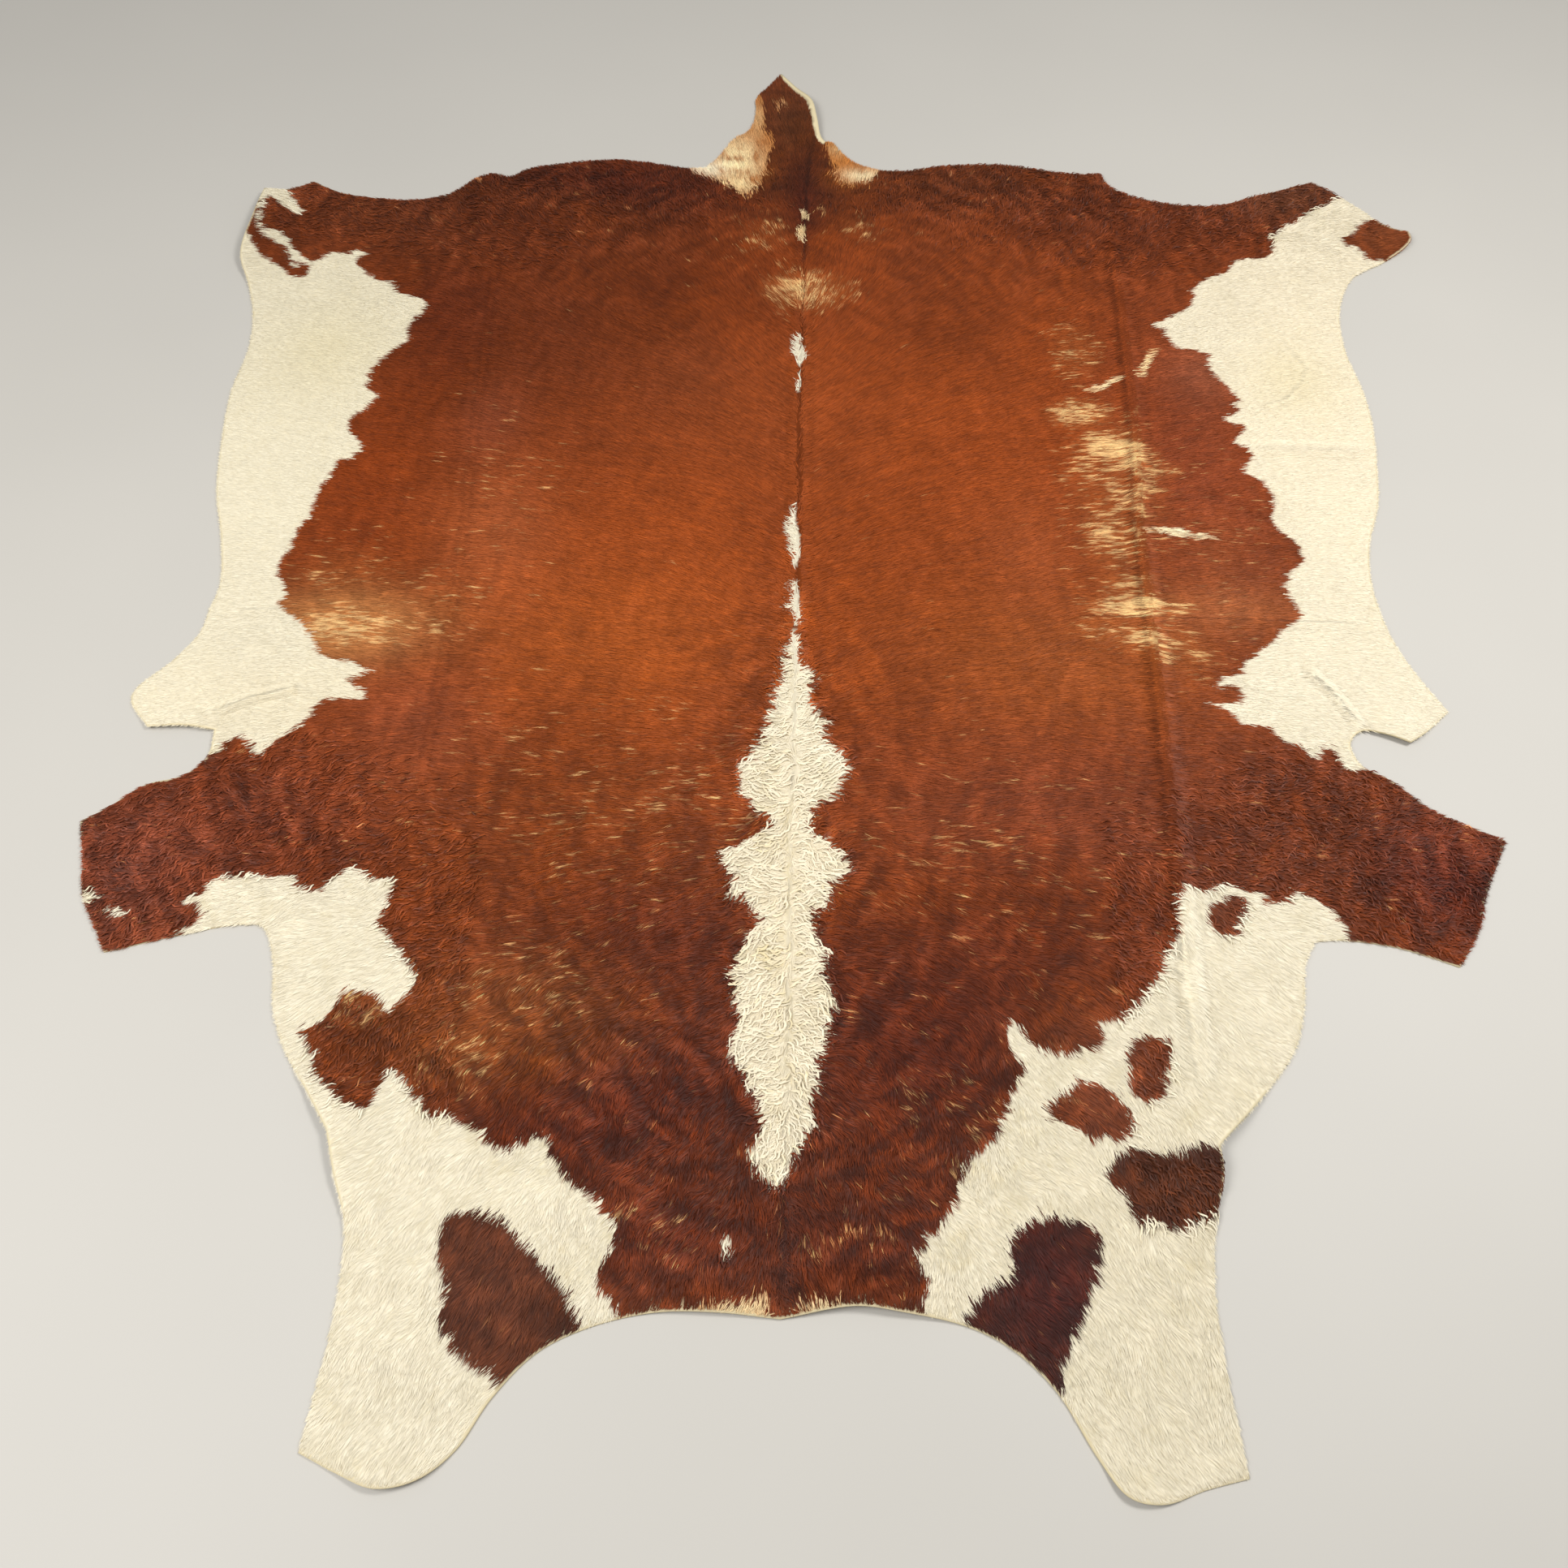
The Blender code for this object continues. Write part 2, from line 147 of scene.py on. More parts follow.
# The coat's markings in cm, painted in this order over the brown.
markings = {
    "bellyRight": ("white", (
        (101.7, 98.3), (100.3, 97.3), (99, 96.3), (97.3, 95.2), (95.3, 94), (94, 93), (92.7, 92),
        (92.3, 90.7), (90.7, 90.3), (89.3, 89.7), (88.7, 88.3), (87.3, 87.3), (86, 87), (86.7, 84.7),
        (86.3, 82.7), (85.7, 81.3), (84.7, 80.3), (83, 80), (80.7, 80.3), (78.7, 79.7), (77.7, 78.7),
        (77.3, 77.3), (76, 76.3), (74.3, 75.3), (72.7, 74.3), (70.7, 73.3), (70, 72.3), (69.7, 70.7),
        (69.3, 70), (68.7, 67.3), (67.3, 66), (65.3, 65), (64, 64), (62.7, 63), (61, 62.1), (62, 61.3),
        (63, 60.3), (62.7, 59), (63.7, 57.7), (64.3, 56.3), (66, 55.2), (68, 55.2), (70, 54.8), (70.3, 54),
        (69.7, 52.7), (70, 50.7), (71, 49.3), (71.7, 47.3), (73, 45.7), (73.7, 43.7), (74.3, 42.7),
        (73.3, 42), (73.7, 40.7), (73.3, 39.7), (71.3, 38.7), (70.3, 38), (72.7, 37.3), (74.3, 37),
        (74.7, 35.7), (73.3, 34.7), (72.3, 33.3), (72, 32.7), (73.3, 32), (74.3, 30.7), (74.7, 29.3),
        (73.3, 28.3), (72.7, 26.7), (73, 25), (75.3, 24.3), (76.3, 22.7), (77, 20.7), (76.9, 18),
        (76.3, 16), (76.3, 14), (77.3, 12.3), (79.3, 11), (79.7, 9), (79.9, 7), (78.7, 5.3), (77.3, 4.3),
        (76.7, 2.7), (76, 0.7), (76.7, -1.3), (77.3, -3), (77.7, -4.7), (76, -6.3), (74, -7.7),
        (72.7, -9.7), (69.7, -12.3), (67.3, -14), (66.7, -16), (64.7, -16.7), (63, -17.7), (62.3, -19),
        (60.5, -20), (62.5, -19.4), (65.3, -19), (66.3, -20.3), (66, -21.7), (64, -21.9), (60, -22),
        (62.7, -22.7), (64, -24.3), (65.3, -25.7), (68.3, -26.3), (70, -27.3), (71.3, -28.7), (73.3, -29.7),
        (75, -31), (76, -32.3), (77, -30.7), (77.7, -29.8), (79, -30), (79.3, -31.7), (79.7, -33.3),
        (80.5, -34.5), (82.5, -33.6), (84, -33), (130, -33), (130, 98))),
    "hockRight": ("brown", (
        (105, 90.7), (106.7, 91.5), (107.9, 91.5), (115, 92), (116, 84), (110, 80), (106.7, 80),
        (105.7, 80.3), (103.9, 81), (103.7, 82.7), (102.7, 83.7), (101.7, 84.7), (101, 83.7), (100.3, 85.3),
        (100, 86.7), (102, 87.3), (103.3, 88.3), (104.1, 89.7))),
    "elbowFleckRight": ("brown", (
        (60.5, -20), (62.3, -19.1), (64.7, -18.9), (66, -20), (65.7, -21.4), (63.3, -21.7), (61.3, -21.3))),
    "hockLeft": ("white", (
        (-112.5, 96.5), (-107.6, 96), (-107, 94.75), (-105.75, 92.75), (-104.75, 91.25), (-103, 89.75),
        (-104.5, 88.5), (-105.5, 89.5), (-107.5, 90.5), (-109.25, 92), (-110.25, 92.75), (-111, 91),
        (-113, 90))),
    "hockStreakLeft": ("white", (
        (-111.4, 90), (-110.5, 90.5), (-110.1, 84.5), (-108.4, 81), (-109.2, 80.6), (-111, 84))),
    "hockStreakInner": ("white", (
        (-107.8, 83), (-107, 83.2), (-104, 80.6), (-104.6, 79.9), (-106.5, 81.6))),
    "bellyLeft": ("white", (
        (-125, 81), (-110, 81), (-107.8, 83.4), (-106, 81.6), (-104.3, 80.4), (-102.5, 78.5), (-101, 76.9),
        (-99.2, 75.8), (-97.7, 76.1), (-96.5, 77.8), (-95, 78.4), (-93, 78.3), (-92, 77.6), (-92.2, 78.7),
        (-90, 78.8), (-88.4, 77.8), (-90, 77.4), (-90.5, 76.5), (-90, 74.8), (-88.5, 73.5), (-87.5, 72),
        (-85.5, 70.8), (-83.5, 70.3), (-82.5, 69.5), (-81.3, 67.5), (-79, 66.8), (-77.5, 66.5), (-76, 65.5),
        (-75.5, 64.5), (-75.75, 63.25), (-75.25, 62), (-77.5, 61.1), (-77.1, 60), (-77.75, 58), (-77.6, 56),
        (-77.25, 54.75), (-78.5, 53.5), (-79.75, 52.5), (-80.25, 51.25), (-81.75, 50.5), (-82.25, 48.5),
        (-83.25, 47), (-83.75, 45.75), (-82.75, 45), (-83.25, 43.75), (-82.25, 42.25), (-80.75, 41.25),
        (-81.75, 39.5), (-82.25, 37.5), (-84.25, 36), (-84.9, 34.5), (-84.5, 32.25), (-83, 30.75),
        (-82, 29.5), (-81, 27.75), (-82.5, 27), (-82.75, 25.75), (-84.75, 26.1), (-85.5, 24.5),
        (-85.5, 22.5), (-86.5, 20.5), (-87, 19.5), (-87.1, 17), (-87.6, 15.5), (-87.5, 14), (-88.5, 11.75),
        (-89.25, 9.5), (-89.75, 6.5), (-90.5, 4), (-91, 1.5), (-90, -0.5), (-89, -2.5), (-88.5, -4.25),
        (-89.75, -5.75), (-88.25, -7), (-86.5, -8.5), (-84, -10.5), (-83, -12.25), (-81.75, -13.75),
        (-81.5, -15), (-80, -16), (-78, -16.75), (-76, -16.5), (-74.5, -17.5), (-72, -18.5),
        (-73.5, -19.25), (-75, -19.75), (-76, -20), (-73, -22), (-72.1, -23.25), (-73, -24.1), (-75, -24),
        (-77, -23.75), (-79, -24.4), (-80, -25.5), (-80.25, -27.5), (-82, -29.5), (-83.25, -31),
        (-85, -32.5), (-86.75, -34.5), (-88, -34), (-88.75, -33), (-89.5, -32), (-90.5, -31), (-91.5, -32),
        (-92.5, -32.5), (-93.2, -34.8), (-95, -34.5), (-96, -31), (-125, -31))),
    "hockIslandLeft": ("brown", (
        (-112.5, 84), (-110.5, 83.5), (-108.5, 80.5), (-106, 79.5), (-104.8, 78.8), (-103.8, 77),
        (-102.5, 75.9), (-101, 75.3), (-99.5, 74.8), (-98.9, 73.3), (-99.8, 71.6), (-101.3, 71),
        (-103, 72.4), (-104.6, 73.8), (-107, 75.2), (-108.7, 76.2), (-110, 78.2), (-111.3, 80.2),
        (-112.8, 82))),
    "hockFleckLeft": ("white", (
        (-103.75, 75.5), (-102.2, 75.2), (-100.8, 74.6), (-101.6, 74), (-103, 74.6))),
    "throatLeft": ("white", (
        (-92.75, -64.75), (-91, -63.25), (-89.5, -62.5), (-90, -61), (-90.5, -60.25), (-92.75, -59.75),
        (-92, -58.75), (-90, -58.25), (-89.5, -56.5), (-88, -55.4), (-85, -55.15), (-82, -55.4), (-79, -55),
        (-77.25, -55), (-76.5, -57), (-74.5, -57.6), (-72.75, -57), (-72.25, -55.75), (-70.5, -55),
        (-70, -53.5), (-69, -52.9), (-67.75, -53.75), (-66, -55.4), (-64.5, -55.5), (-63, -55.25),
        (-62.75, -57.5), (-63, -60), (-64.25, -62.25), (-63, -63.5), (-61.75, -65), (-60.25, -66.5),
        (-58.5, -68.75), (-57.5, -70), (-57.25, -72.25), (-58.75, -74), (-60.5, -75.75), (-61.5, -74.75),
        (-61.75, -74), (-63, -73.25), (-64.5, -72.75), (-66, -73), (-67.75, -72.75), (-67.5, -74.5),
        (-68.5, -76.25), (-70, -77.75), (-72.25, -78.75), (-70.75, -80.5), (-69.25, -82.5), (-69.5, -84.25),
        (-67.5, -86.25), (-65.5, -88), (-62.5, -89.75), (-60.75, -89.5), (-60, -88), (-59.5, -86),
        (-59.25, -84.25), (-58, -84), (-56.5, -85.5), (-55, -87.5), (-54, -89), (-52.75, -90.25),
        (-50.25, -90), (-46.25, -92), (-45, -93.75), (-42, -94.75), (-39.75, -94), (-38, -93),
        (-36.25, -93.25), (-36, -95), (-35, -96.25), (-33.25, -98.25), (-30.5, -100.25), (-28.5, -102.25),
        (-26.75, -104), (-26.5, -106.5), (-27.5, -109), (-28.25, -110.5), (-27.75, -112), (-26, -113.5),
        (-25.25, -115), (-25, -120), (-25, -140), (-75, -140), (-90, -100), (-85, -68), (-93, -67))),
    "cheekPatchLeft": ("dark", (
        (-48.75, -104.5), (-48, -103.25), (-45.5, -102.85), (-42.5, -103.25), (-41, -104.25),
        (-39.25, -105.5), (-37.25, -107.5), (-35, -109.5), (-33, -111.25), (-31.5, -113.5), (-31, -115),
        (-30.25, -115.75), (-29.5, -117.5), (-40, -128), (-39.5, -124), (-40, -122.5), (-42, -121.5),
        (-44, -120.5), (-45.5, -119.75), (-46, -118.5), (-47, -117.25), (-47.5, -115.5), (-47.25, -113.5),
        (-47.5, -111.5), (-48.25, -109.5), (-48.75, -107))),
    "throatRight": ("white", (
        (75.5, -63), (75.3, -60), (74.3, -58.7), (73.3, -57.3), (72.3, -56.3), (71.3, -55.3), (69.7, -55.3),
        (68.7, -54.3), (68, -56), (66, -56.7), (64.3, -56.7), (64.3, -55), (62, -54.7), (60, -53.9),
        (58.3, -53.5), (57.3, -54.3), (56.7, -55), (54.7, -54.7), (52.7, -54.3), (51.7, -56.3),
        (51.3, -58.7), (51, -62), (50, -63.3), (48.7, -65.7), (48.3, -67.7), (46.7, -69.7), (45, -71.7),
        (43.3, -73.3), (41.3, -75), (39.3, -75), (38.3, -75.3), (39, -77.3), (38, -79.3), (36.3, -79),
        (35.3, -79.7), (33.3, -80), (31.3, -79.8), (30, -79.7), (29, -78.3), (28, -76.7), (26.7, -75.3),
        (25.9, -76), (26, -78), (25.7, -80), (27, -81), (28, -82.3), (27, -84.3), (25.7, -86), (25.3, -88),
        (24.3, -90), (23, -92), (21, -93.75), (19.5, -94.75), (19, -96.5), (18, -98.5), (17.5, -101),
        (16, -102.5), (15.5, -104), (14, -104.5), (13.75, -106), (12.25, -107), (12.75, -109),
        (13.75, -110), (13.5, -111.5), (13.25, -113.5), (13, -115), (13, -125), (35, -142), (60, -142),
        (75, -100), (80, -66))),
    "throatSpotRight": ("brown", (
        (60, -55), (61.7, -56.3), (61.3, -58), (60.3, -60), (59.3, -62), (57.3, -61.7), (56, -61),
        (55.7, -59.3), (56.3, -57.3), (58, -56.3))),
    "neckSpotOuter": ("brown", (
        (43, -78), (45, -77), (46.7, -77.5), (48.1, -77.3), (48, -79.7), (47.3, -82.3), (46.7, -85),
        (44.7, -87), (43, -86.2), (42, -84.7), (42.1, -82.7), (42, -80))),
    "neckSpotInner": ("brown", (
        (36, -83.7), (38, -84.3), (39.7, -85.3), (41.3, -87.3), (41.9, -89.7), (40.7, -91.7), (39, -92),
        (37.7, -91.3), (36, -92), (35, -90.7), (33, -89.7), (31, -88.7), (30.7, -87.3), (32.3, -86),
        (34.3, -84.7))),
    "neckPatchRight": ("dark", (
        (40.3, -93.3), (42, -92.7), (43.7, -93.3), (45.3, -94), (47.3, -93.8), (49.3, -93.1), (52.7, -93),
        (54, -93.5), (53, -101.5), (51, -101), (49.3, -102.3), (48, -102.3), (47, -103.3), (45, -103),
        (43, -102.3), (41.3, -103), (40.3, -101), (40, -98.7), (38, -97.7), (37.5, -96), (38.7, -94.7))),
    "cheekPatchRight": ("dark", (
        (26.7, -103), (30, -102.1), (31.7, -102.3), (33.3, -102.3), (35, -103.3), (36.3, -104.3),
        (36, -106.7), (35.7, -109.3), (34, -112), (33, -114.7), (32, -116.7), (30, -120.3), (29.9, -122.9),
        (27, -124), (17, -117), (19, -114.25), (19.75, -113), (20, -112.25), (20.7, -111.7), (25, -109.7),
        (24.7, -107.7), (24.3, -106.3), (25.3, -104.7))),
    "spineFleck1": ("white", ((-5.1, 93), (-4.2, 91.5), (-3.7, 90.2), (-4.8, 90), (-5.3, 91))),
    "spineFleck2": ("white", (
        (-5.6, 87.7), (-4.3, 87.7), (-4.4, 85.5), (-4.9, 83), (-5.9, 85.5), (-6.1, 86.5))),
    "spineFleck3": ("white", (
        (-6, 58), (-4.75, 58.2), (-5, 56), (-4.75, 54.5), (-3.1, 52.75), (-4.25, 51.5), (-4.25, 50),
        (-5.25, 50), (-5.75, 51.5), (-6.6, 53.5), (-6.25, 55.5))),
    "spineFleck4": ("white", ((-4.9, 48.5), (-4.7, 46), (-4.9, 43.3), (-5.6, 45), (-5.2, 47))),
    "spineFleck5": ("white", (
        (-5.5, 18), (-5.25, 15.5), (-4.75, 11.5), (-4.3, 10.5), (-4.3, 5), (-5, 3.5), (-5.75, 4.5), (-6, 8),
        (-6.75, 10.5), (-6.5, 13.5), (-6, 16))),
    "spineFleck6": ("white", (
        (-6.25, 0.75), (-4.5, 0.5), (-4.4, -3), (-3.25, -5.5), (-3.5, -8), (-5, -8.5), (-5.75, -5.5),
        (-6.5, -5), (-6, -2.5))),
    "stripe": ("white", (
        (-5.75, -9.5), (-6.5, -12), (-7, -15), (-7.25, -18.5), (-8, -21), (-8.5, -24), (-9.25, -27),
        (-9.75, -29.5), (-10.5, -31), (-11.75, -32), (-12.25, -34), (-13.25, -36), (-12.75, -38),
        (-13, -39.75), (-11.25, -41), (-10.5, -43), (-9, -44), (-7.75, -44.25), (-8.25, -45.75),
        (-9.75, -46.5), (-11.5, -47.75), (-13.5, -48.75), (-15.5, -49.75), (-15, -51.5), (-14, -53),
        (-13.25, -54.75), (-14.25, -57.5), (-12.75, -57.5), (-11, -58), (-10, -59.5), (-9.25, -60.5),
        (-9.25, -62), (-10.25, -62.5), (-10.75, -64), (-12.25, -66), (-13, -68), (-13.25, -69.75),
        (-12.75, -72), (-11.75, -74.5), (-11.75, -77), (-12.5, -79), (-13, -80.5), (-11.75, -82.5),
        (-10.25, -84.5), (-10, -86), (-8.75, -87), (-9, -89), (-8, -90.5), (-8.75, -93), (-9.75, -95),
        (-8.5, -96.75), (-7, -98.25), (-5.5, -99), (-4.75, -98.25), (-3.75, -96.25), (-3, -94.5),
        (-1.75, -93), (-1.5, -91.5), (-0.5, -90.5), (-1, -89), (-0.75, -87), (0, -85), (0, -82.5),
        (0.5, -80.25), (1.25, -78.75), (1, -76.25), (2.25, -73.5), (1.75, -72), (1.25, -69.75), (0.5, -68),
        (1.75, -65.5), (0.25, -64.5), (-0.5, -63), (-1, -61.5), (-0.75, -60), (0, -58.5), (1, -58.5),
        (1.5, -55.5), (2.75, -54.5), (3, -53.5), (5.25, -52.25), (4, -50.75), (3.25, -49.25), (2, -48.25),
        (0.25, -47), (-1.25, -45.75), (-1.5, -44), (-0.75, -42), (0.5, -41), (2.75, -40), (2.75, -38),
        (4, -36), (4, -34), (3, -32), (1.75, -31), (0.5, -29.5), (0.5, -28), (1.5, -27), (0.25, -26),
        (-1, -24.5), (-1.5, -22.5), (-1.25, -20), (-0.5, -19), (-1.5, -17.5), (-2.75, -16), (-3.25, -14.5),
        (-3.5, -12), (-4, -9.5))),
    "tailSkinLeft": ("golden", (
        (-15, 118), (-13, 116.5), (-11.25, 115.5), (-11.75, 112), (-12.5, 109), (-12.5, 105), (-13.25, 102),
        (-15, 98.5), (-16, 96.5), (-17.5, 97.5), (-20, 100), (-23, 102), (-25.5, 103), (-28, 104.3),
        (-28, 106), (-24, 107.5), (-23, 112), (-20, 118), (-16, 121))),
    "tailStripLeft": ("golden", ((-16, 128), (-13.9, 127.5), (-13.4, 122), (-13.2, 118), (-16, 118))),
    "tailSkinRight": ("golden", (
        (-0.75, 113), (0, 112), (0, 109.5), (0.25, 107.5), (1.75, 104), (3, 101.25), (4.75, 100.5),
        (6.5, 101.5), (9, 102), (10, 104), (11, 108), (5, 114), (0, 115))),
    "pollFrayLeft": ("golden", (
        (-15, -114.3), (-12.4, -113.5), (-10.4, -113.6), (-9.2, -112.9), (-8, -113.2), (-7.2, -112.7),
        (-6.4, -113.7), (-6.4, -116), (-15, -116))),
    "pollFrayRight": ("golden", (
        (-2.6, -116), (-2.4, -114), (-1.2, -113.1), (-0.4, -113.5), (0.7, -112.7), (1.6, -113.3),
        (3, -113.4), (3.4, -116))),
    "ribTuft": ("golden", (
        (54.4, 13), (57, 12.9), (59.8, 12.5), (62.9, 11.6), (65.6, 11.3), (65.4, 10.8), (62.8, 10.9),
        (59.6, 11.5), (57, 12), (54.6, 12.2))),
    "ridgeTuftOuter": ("golden", (
        (56.8, 48.3), (57.6, 50.4), (59, 54.2), (60.2, 55.8), (60.9, 55.5), (60, 53.4), (58.5, 50.2),
        (57.5, 48.3))),
    "ridgeTuftInner": ("golden", (
        (47.2, 45.2), (50, 46.3), (53.4, 48.5), (53.8, 47.9), (50.4, 45.3), (47.6, 44.3))),
    "pollDark": ("dark", ((-3.8, -111.2), (-2, -110.9), (-1, -111.6), (-2, -112.9), (-3.6, -112.8))),
    "tailScratch": ("golden", ((-11.4, 125.2), (-9.2, 126.3), (-9, 125.8), (-11.2, 124.7))),
    "pollFleck": ("white", ((-12.8, -105.4), (-11.4, -105.6), (-11.3, -107.6), (-12.3, -107.4))),
    "shankFleck": ("white", (
        (-103.4, -60.4), (-101.4, -60.9), (-100, -62), (-101.6, -62.2), (-103, -61.6))),
    "shankTuft": ("white", ((-107.6, -58), (-105.8, -58.2), (-105.4, -59.6), (-107.2, -60.2))),
}

# Brown by place, as it is seen: middle and reach in cm, share, colour. Each one is
# laid over those before it.
brownPlaces = (
    (-4, 40, 95, 60, 0.9, "#8A4220"), (-22, 5, 50, 46, 0.95, "#9A4A22"), (26, 32, 38, 50, 0.9, "#944722"),
    (40, -14, 26, 16, 0.7, "#A0562A"), (-36, -12, 26, 16, 0.7, "#A45426"),
    (-16, 40, 26, 20, 0.6, "#904826"), (-52, 56, 26, 34, 0.85, "#6E3620"),
    (-72, 62, 16, 34, 0.85, "#66301A"), (-80, 22, 12, 22, 0.7, "#863D1D"), (65, 32, 14, 34, 0.9, "#8A4429"),
    (66, 5, 12, 9, 0.6, "#8E4A2C"), (-20, 76, 26, 16, 0.6, "#7C3A1D"), (10, 74, 22, 16, 0.5, "#894221"),
    (-46, 99, 42, 12, 0.95, "#4E2614"), (-86, 90, 34, 12, 0.9, "#6A3823"), (-60, 88, 22, 9, 0.8, "#6A3520"),
    (30, 102, 34, 9, 0.9, "#5F321E"), (60, 90, 30, 14, 0.85, "#69341F"), (92, 98, 14, 8, 0.85, "#6A3F2B"),
    (-8, 120, 12, 16, 0.95, "#5E3622"), (-5, 102, 9, 12, 0.9, "#5A2F18"), (-4.5, 94, 4, 14, 0.6, "#482310"),
    (-15, 104, 3.5, 3.5, 0.5, "#9A5628"), (4, 102.5, 4, 3, 0.5, "#9A5628"),
    (-45, -46, 36, 18, 0.75, "#80401F"), (32, -44, 32, 16, 0.85, "#86442A"),
    (34, -64, 24, 14, 0.8, "#6E341D"), (76, -43, 22, 15, 0.85, "#693520"),
    (-84, -46, 24, 13, 0.9, "#743A25"), (-102, -55, 14, 14, 0.9, "#7C4230"),
    (92, -52, 15, 14, 0.9, "#5A2915"), (-24, -64, 24, 12, 0.85, "#69311A"),
    (-32, -86, 30, 16, 0.9, "#552610"), (14, -80, 26, 24, 0.9, "#5C2B14"),
    (-20, -106, 20, 9, 0.9, "#602D18"), (8, -106, 20, 9, 0.9, "#5E2D18"), (-58, -80, 16, 9, 0.8, "#68351D"),
    (-44, -76, 16, 10, 0.6, "#8A4C2A"), (-78, -10, 13, 7, 0.8, "#C88C54"), (66, -4, 14, 5, 0.7, "#A8623A"),
    (108, 86, 8, 7, 0.9, "#81462A"), (58, -58, 5, 5, 0.9, "#76402A"), (40, -84, 9, 10, 0.9, "#7A422B"),
    (-34, 68, 12, 17, 0.75, "#66321C"), (22, 68, 12, 17, 0.75, "#70371F"), (-56, 9, 9, 15, 0.7, "#A85A34"),
    (-64, -28, 10, 11, 0.7, "#994F31"), (-60, 35, 6, 9, 0.5, "#8C4A32"), (69, 50, 7, 8, 0.6, "#97583F"),
    (35, 8, 8, 14, 0.5, "#AA5830"), (-25, 48, 7, 7, 0.5, "#8E4829"),
)

# The three dark patches of the head end, the same way.
darkPlaces = (
    (-42, -112, 14, 14, 0.9, "#6B3D2B"), (30, -110, 14, 16, 0.9, "#472212"),
    (46, -98, 12, 8, 0.9, "#5A311F"),
)

# The thin skin by the tail and the pale frays, the same way: cream inside, golden outside.
goldenPlaces = (
    (-18.6, 107.5, 4.8, 7, 1.0, "#FFEBB6"), (-24.5, 104.8, 4, 2.5, 0.9, "#FAEFD0"),
    (-17, 101, 3, 3, 0.9, "#FCE4AC"), (-14.6, 121, 1.6, 5, 0.6, "#DDBB86"),
    (7, 103.2, 4.2, 2, 0.9, "#FAE8BA"), (1.6, 110.6, 1.8, 1.8, 0.6, "#E2C08A"),
    (-10, -114, 6, 2, 0.9, "#F6E0AE"), (0, -114, 4, 2, 0.9, "#F6E0AE"), (60, 12, 8, 3, 1.0, "#FFEEC4"),
    (59, 52, 5, 7, 1.0, "#FFDFA8"), (50.5, 46.5, 6, 3, 1.0, "#FFE6B4"), (-10, 125.5, 3, 2, 0.9, "#D9A878"),
)

# White by place, the same way: yellower at the two pouch marks.
whitePlaces = (
    (-95, 50, 30, 60, 0.9, "#F0E6CA"), (-92, 52, 10, 12, 0.5, "#E6D9B0"), (90, 45, 30, 60, 0.9, "#F9ECCF"),
    (85, 48, 8, 9, 0.55, "#EFE1B8"), (-4.5, 88, 5, 8, 0.95, "#F2CC90"), (-6, -60, 14, 50, 0.9, "#F5E7C8"),
    (-50, -110, 30, 30, 0.9, "#F4EAD0"), (42, -110, 30, 34, 0.9, "#EFE4C8"),
    (-85, -24, 24, 8, 0.5, "#EFE2C2"),
)

# Blond hairs in the brown: middle and reach in cm, share.
blondPlaces = (
    (45.5, 39, 7, 4.5, 0.98), (50.6, 31.4, 7.5, 5, 1.0), (54.6, 28, 6, 4, 0.9), (58, 25.8, 6, 3, 0.75),
    (49, 12, 8, 14, 0.72), (50.5, 1.5, 7, 3.5, 0.78), (51.5, -3.6, 10, 3.4, 1.12), (52, -9.6, 8, 4, 0.85),
    (45.6, -8.4, 6, 3.4, 0.8), (57, -12, 10, 7, 0.66), (46, 55, 8, 12, 0.58), (51, 22, 13, 24, 0.62),
    (-78, -10, 14, 7, 0.78), (-80, 2, 14, 10, 0.5), (-50, -82, 15, 9, 0.46), (-42, -72, 20, 14, 0.44),
    (-64, -74, 12, 10, 0.46), (-25, -103, 16, 8, 0.34), (8, -103, 14, 9, 0.34), (-4, 70, 11, 7, 0.85),
    (5, 88, 6, 6, 0.45), (-12, 85, 12, 10, 0.45), (-62, -5, 12, 14, 0.45), (-30, -40, 40, 30, 0.38),
    (30, -50, 34, 26, 0.33), (66, 10, 12, 24, 0.42), (-56, 20, 16, 30, 0.3), (20, -92, 20, 14, 0.36),
)

# How the hair lies on the right side: cm from the spine, y in cm, degrees from straight
# out (90 is towards the tail). The left side is its mirror image.
hairLay = (
    (3, 125, 90), (4, 110, 80), (5, 95, 75), (30, 95, 60), (55, 95, 40), (90, 95, 20), (110, 95, -5),
    (5, 75, 65), (30, 75, 40), (60, 75, 20), (85, 75, 0), (100, 75, -10), (5, 50, 40), (30, 50, 15),
    (60, 50, 5), (90, 50, -5), (5, 20, 25), (40, 20, 5), (80, 20, 0), (95, 20, -5), (5, -10, 15),
    (40, -10, 3), (70, -10, -2), (95, -10, -15), (90, -25, -25), (5, -40, 0), (40, -40, -5), (70, -40, -8),
    (100, -40, -10), (5, -60, -15), (40, -60, -22), (60, -60, -34), (90, -60, -30), (5, -80, -34),
    (30, -78, -48), (60, -80, -50), (4, -100, -78), (20, -98, -62), (45, -100, -58), (3, -110, -88),
    (15, -110, -72), (35, -110, -60), (45, -125, -66),
)

